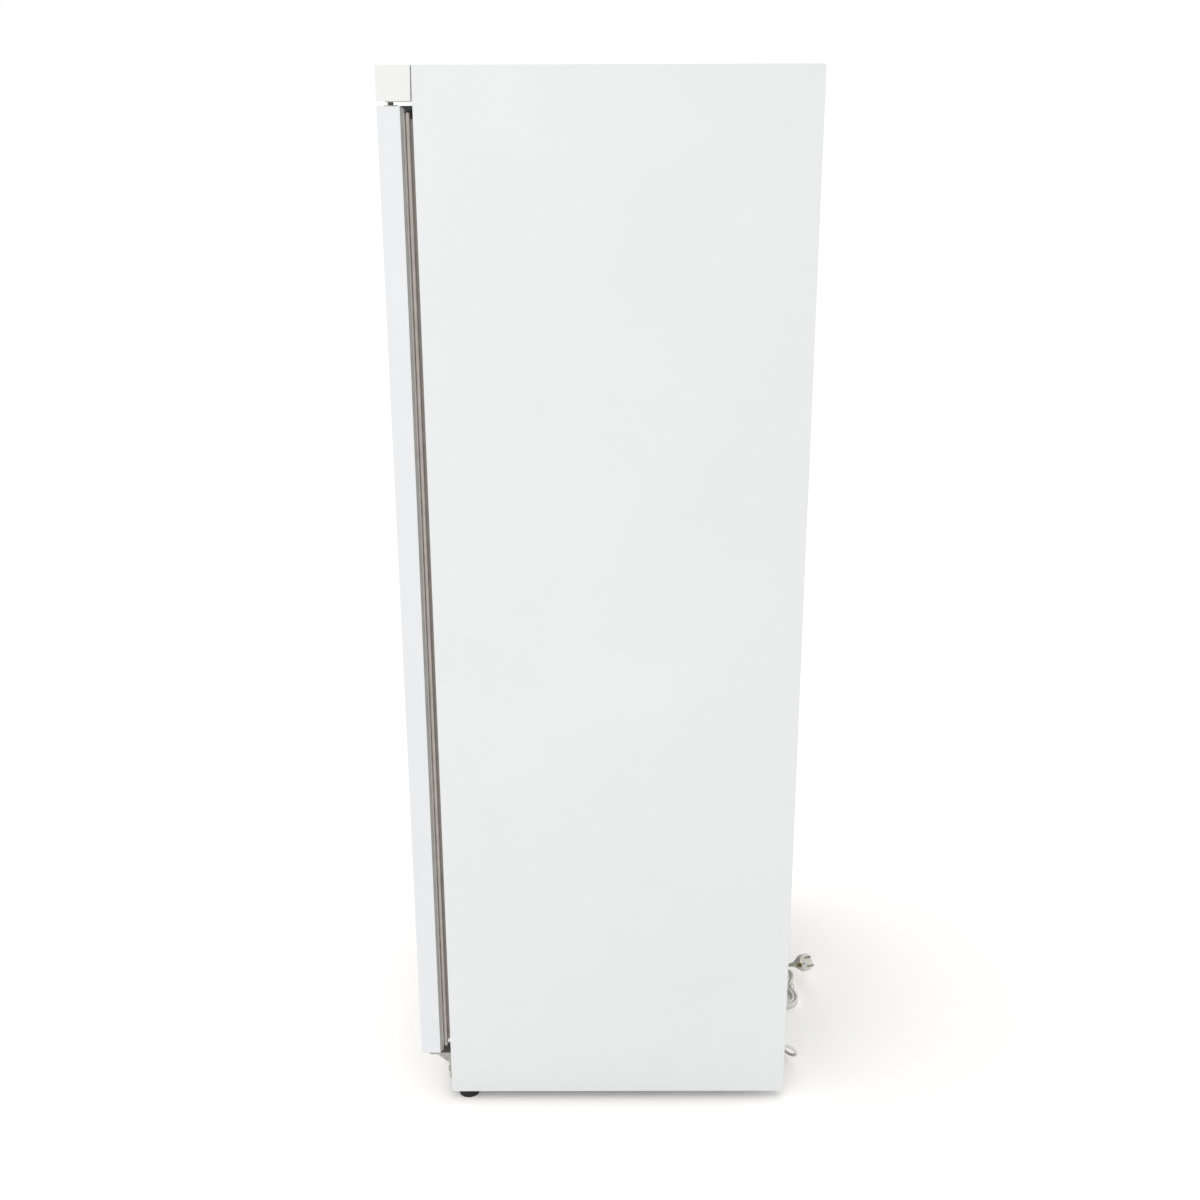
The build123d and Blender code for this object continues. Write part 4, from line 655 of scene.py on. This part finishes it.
# the window of the controller: light segments behind smoked acrylic
displaySettings = {
    "pane": ((-29.1, 0.6), (-349.4, -349.0), (1859.6, 1877.4)),
    "digits": (-19.5, -8.0),
    "middle": 1868.5,
    "tall": 10.4,
    "wide": 5.4,
    "bar": 1.1,
    "gap": 0.3,
    "corner": 0.8,
    "edge": 0.1,
    "paneEdge": 0.15,
    "depth": (-348.95, -348.72),
    "shown": (None, 4),
}
litBars = {4: (1, 2, 5, 6)}  # the bars are counted clockwise from the top, the middle one last


def makeDisplay():
    s = displaySettings
    lit = []
    dark = []
    z = s["middle"]
    bar = s["bar"]
    bottom = z - s["tall"] / 2
    top = z + s["tall"] / 2
    upper = (z + s["gap"], top - s["corner"])
    lower = (bottom + s["corner"], z - s["gap"])
    for middle, value in zip(s["digits"], s["shown"]):
        left = middle - s["wide"] / 2
        right = middle + s["wide"] / 2
        limits = [
            ((left + bar, right - bar), (top - bar, top)),
            ((right - bar, right), upper),
            ((right - bar, right), lower),
            ((left + bar, right - bar), (bottom, bottom + bar)),
            ((left, left + bar), lower),
            ((left, left + bar), upper),
            ((left + bar, right - bar), (z - bar / 2, z + bar / 2)),
        ]
        for index, (x, rise) in enumerate(limits):
            group = lit if index in litBars.get(value, ()) else dark
            group.append(addBar(x, s["depth"], rise, s["edge"], 1))
    joinBars(lit)
    namePiece("display_bars_lit", "litSegment", "cabinet")
    joinBars(dark)
    namePiece("display_bars_dark", "darkSegment", "cabinet")
    addBar(*s["pane"], s["paneEdge"])
    namePiece("display_pane", "smokedAcrylic", "cabinet")


# plain marks printed on the three keys
keyMarks = {"button_set": (9.0, "ring"), "button_down": (18.5, "down"), "button_up": (28.0, "up")}
markSize = {"height": 1868.5, "half": 1.0, "slope": 1.6, "ring": 1.1, "line": 0.25, "ink": "EDEDED"}


def printMark(name, middle, shape):
    material = materials["siliconeKeys"].copy()
    material.name = "siliconeKeyPrinted_" + shape
    tree = material.node_tree
    place = addNode(tree, "TexCoord").outputs["Object"]
    centre = metres(-middle, 0, -markSize["height"])
    moved = addNode(tree, "Mapping", {"Location": centre}, {"Vector": place})
    apart = addNode(tree, "SeparateXYZ", links={"Vector": moved.outputs[0]})
    half = markSize["half"] / 1000
    if shape == "ring":
        flat = addNode(tree, "CombineXYZ", links={"X": apart.outputs["X"], "Y": apart.outputs["Z"]})
        far = addNode(tree, "VectorMath", {"operation": "LENGTH"}, {0: flat.outputs[0]})
        line = {1: markSize["ring"] / 1000, 2: markSize["line"] / 1000}
        mask = addMath(tree, "COMPARE", {0: far.outputs["Value"]}, line)
    else:  # a triangle with its tip up or down
        across = addMath(tree, "ABSOLUTE", {0: apart.outputs["X"]})
        sign = 1.0 if shape == "up" else -1.0
        rise = addMath(tree, "MULTIPLY", {0: apart.outputs["Z"]}, {1: sign})
        edge = addMath(tree, "MULTIPLY_ADD", {0: across, 2: rise}, {1: markSize["slope"]})
        under = addMath(tree, "LESS_THAN", {0: edge}, {1: half})
        over = addMath(tree, "GREATER_THAN", {0: rise}, {1: -half})
        mask = addMath(tree, "MULTIPLY", {0: under, 1: over})
    shader = next(node for node in tree.nodes if node.type == "BSDF_PRINCIPLED")
    plain = shader.inputs["Base Color"].links[0].from_socket
    ink = {"data_type": "RGBA", 7: hexColour(markSize["ink"])}
    printed = addNode(tree, "Mix", ink, {0: mask, 6: plain})
    tree.links.new(printed.outputs[2], shader.inputs["Base Color"])
    slots = nodes[name].data.materials
    slots.clear()
    slots.append(material)


# a black strip in the slit between the canopy and the cabinet: a dark sheet that stands for the shade
# there (painted shade)
shadeStripSettings = {"x": (-386, 386), "y": (-294.4, -293.6), "z": (1889.5, 1893.5), "edge": 0.3}

# flat hexagon screws through the rear flanges, into the condenser's brackets and the rear panel's edge
screwSettings = {
    "x": (-374.5, 374.5),
    "face": 349.5,
    "heights": (545.8, 1070.0, 1594.2),
    "flange": 4.5,
    "flangeSides": 24,
    "corner": 4.0416,
    "cornerCount": 6,
    "washer": 0.3,
    "rise": 0.8,
    "sunk": 0.1,
    "washerEdge": 0.1,
    "headEdge": 0.25,
}


def addDisc(sides, radius, thick, height, edge):  # a flat cylinder or prism, with its edges rounded
    clearSelection()
    bpy.ops.mesh.primitive_cylinder_add(vertices=sides, radius=radius / 1000, depth=thick / 1000)
    disc = bpy.context.object
    disc.location.z = height / 1000
    bpy.ops.object.transform_apply(location=True, rotation=False, scale=False)
    bpy.ops.object.mode_set(mode="EDIT")
    bpy.ops.mesh.select_all(action="SELECT")
    bpy.ops.mesh.bevel(offset=edge / 1000, segments=2, affect="EDGES")
    bpy.ops.object.mode_set(mode="OBJECT")
    return disc


def makeScrew():  # one screw, its washer and its head in one mesh, pointing upwards
    s = screwSettings
    washer = addDisc(s["flangeSides"], s["flange"], s["washer"], 0, s["washerEdge"])
    height = (s["washer"] + s["rise"]) / 2 - s["sunk"]
    head = addDisc(s["cornerCount"], s["corner"], s["rise"], height, s["headEdge"])
    return joinBars([washer, head])


def makeRearScrews():
    s = screwSettings
    first = makeScrew()
    first.rotation_euler.x = math.radians(-90)  # out of the back
    clearSelection()
    first.select_set(True)
    bpy.context.view_layer.objects.active = first
    bpy.ops.object.transform_apply(location=False, rotation=True, scale=False)
    screws = []
    for x in s["x"]:
        for z in s["heights"]:
            copy = first.copy()
            copy.data = first.data.copy()
            bpy.context.collection.objects.link(copy)
            copy.data.transform(Matrix.Translation(metres(x, s["face"] + s["washer"] / 2, z)))
            screws.append(copy)
    bpy.data.objects.remove(first)
    joinBars(screws)
    namePiece("rear_screws", "zincPlatedSteel", "cabinet")


makePlugMetal()
makeDisplay()
for keyName, (keyMiddle, keyShape) in keyMarks.items():
    printMark(keyName, keyMiddle, keyShape)
# the black strip darkens the slit behind the canopy: painted shade
addBar(shadeStripSettings["x"], shadeStripSettings["y"], shadeStripSettings["z"], shadeStripSettings["edge"])
namePiece("canopy_slit_painted_shade", "blackStripPaintedShade", "cabinet")
makeRearScrews()
print("stage: small pieces")


studio = {
    "floorHalf": 60.0,
    # what the floor gives back to the object, and what the camera sees of it
    "floorBounce": "F8F8F6",
    "floorSeen": "FFFEFB",
    "floorLift": 0.13,
    "skyLight": 0.96,
    # place, the height that it looks at, how wide, watts: broad soft boxes all round
    "softBoxes": (
        ((3.5, -1.5, 1.3), 0.1, 2.0, 11),
        ((-3.5, 1.5, 1.3), 0.1, 2.0, 11),
        ((1.4, -3.6, 1.5), 0.2, 2.0, 7),
        ((-1.4, 3.6, 1.5), 0.2, 2.0, 7),
        ((2.6, 0.6, 3.6), 1.4, 2.4, 5),
    ),
}


def makeStudio():
    clearSelection()
    bpy.ops.mesh.primitive_plane_add(size=2 * studio["floorHalf"], location=(0, 0, 0))
    floor = bpy.context.object
    floor.name = "floor"
    material = bpy.data.materials.new("paleStudioFloor")
    material.use_nodes = True
    tree = material.node_tree
    tree.nodes.clear()
    rays = addNode(tree, "LightPath")
    plain = addNode(tree, "BsdfDiffuse", {"Color": hexColour(studio["floorBounce"])})
    pale = addNode(tree, "BsdfDiffuse", {"Color": hexColour(studio["floorSeen"])})
    glow = {"Color": hexColour(studio["floorSeen"]), "Strength": studio["floorLift"]}
    lift = addNode(tree, "Emission", glow)
    pale = addNode(tree, "AddShader", links={0: pale.outputs[0], 1: lift.outputs[0]})
    choice = {0: rays.outputs["Is Camera Ray"], 1: plain.outputs[0], 2: pale.outputs[0]}
    seen = addNode(tree, "MixShader", links=choice)
    addNode(tree, "OutputMaterial", links={"Surface": seen.outputs[0]})
    floor.data.materials.append(material)

    world = bpy.data.worlds.new("studioWorld")
    bpy.context.scene.world = world
    world.use_nodes = True
    tree = world.node_tree
    tree.nodes.clear()
    rays = addNode(tree, "LightPath").outputs
    bright = addMath(tree, "MAXIMUM", {0: rays["Is Camera Ray"], 1: rays["Is Glossy Ray"]})
    bright = addMath(tree, "MAXIMUM", {0: bright, 1: rays["Is Transmission Ray"]})
    strength = addNode(tree, "MapRange", {"To Min": studio["skyLight"]}, {"Value": bright})
    sky = addNode(tree, "Background", {"Color": (1, 1, 1, 1)}, {"Strength": strength.outputs[0]})
    addNode(tree, "OutputWorld", links={"Surface": sky.outputs[0]})

    for place, target, size, watts in studio["softBoxes"]:
        bpy.ops.object.light_add(type="AREA", location=place)
        lamp = bpy.context.object
        lamp.data.shape = "SQUARE"
        lamp.data.size = size
        lamp.data.energy = watts
        aim = Vector((0, 0, target)) - Vector(place)
        lamp.rotation_euler = aim.to_track_quat("-Z", "Y").to_euler()
    bpy.context.scene.view_settings.view_transform = "Standard"


makeStudio()
print("stage: studio")
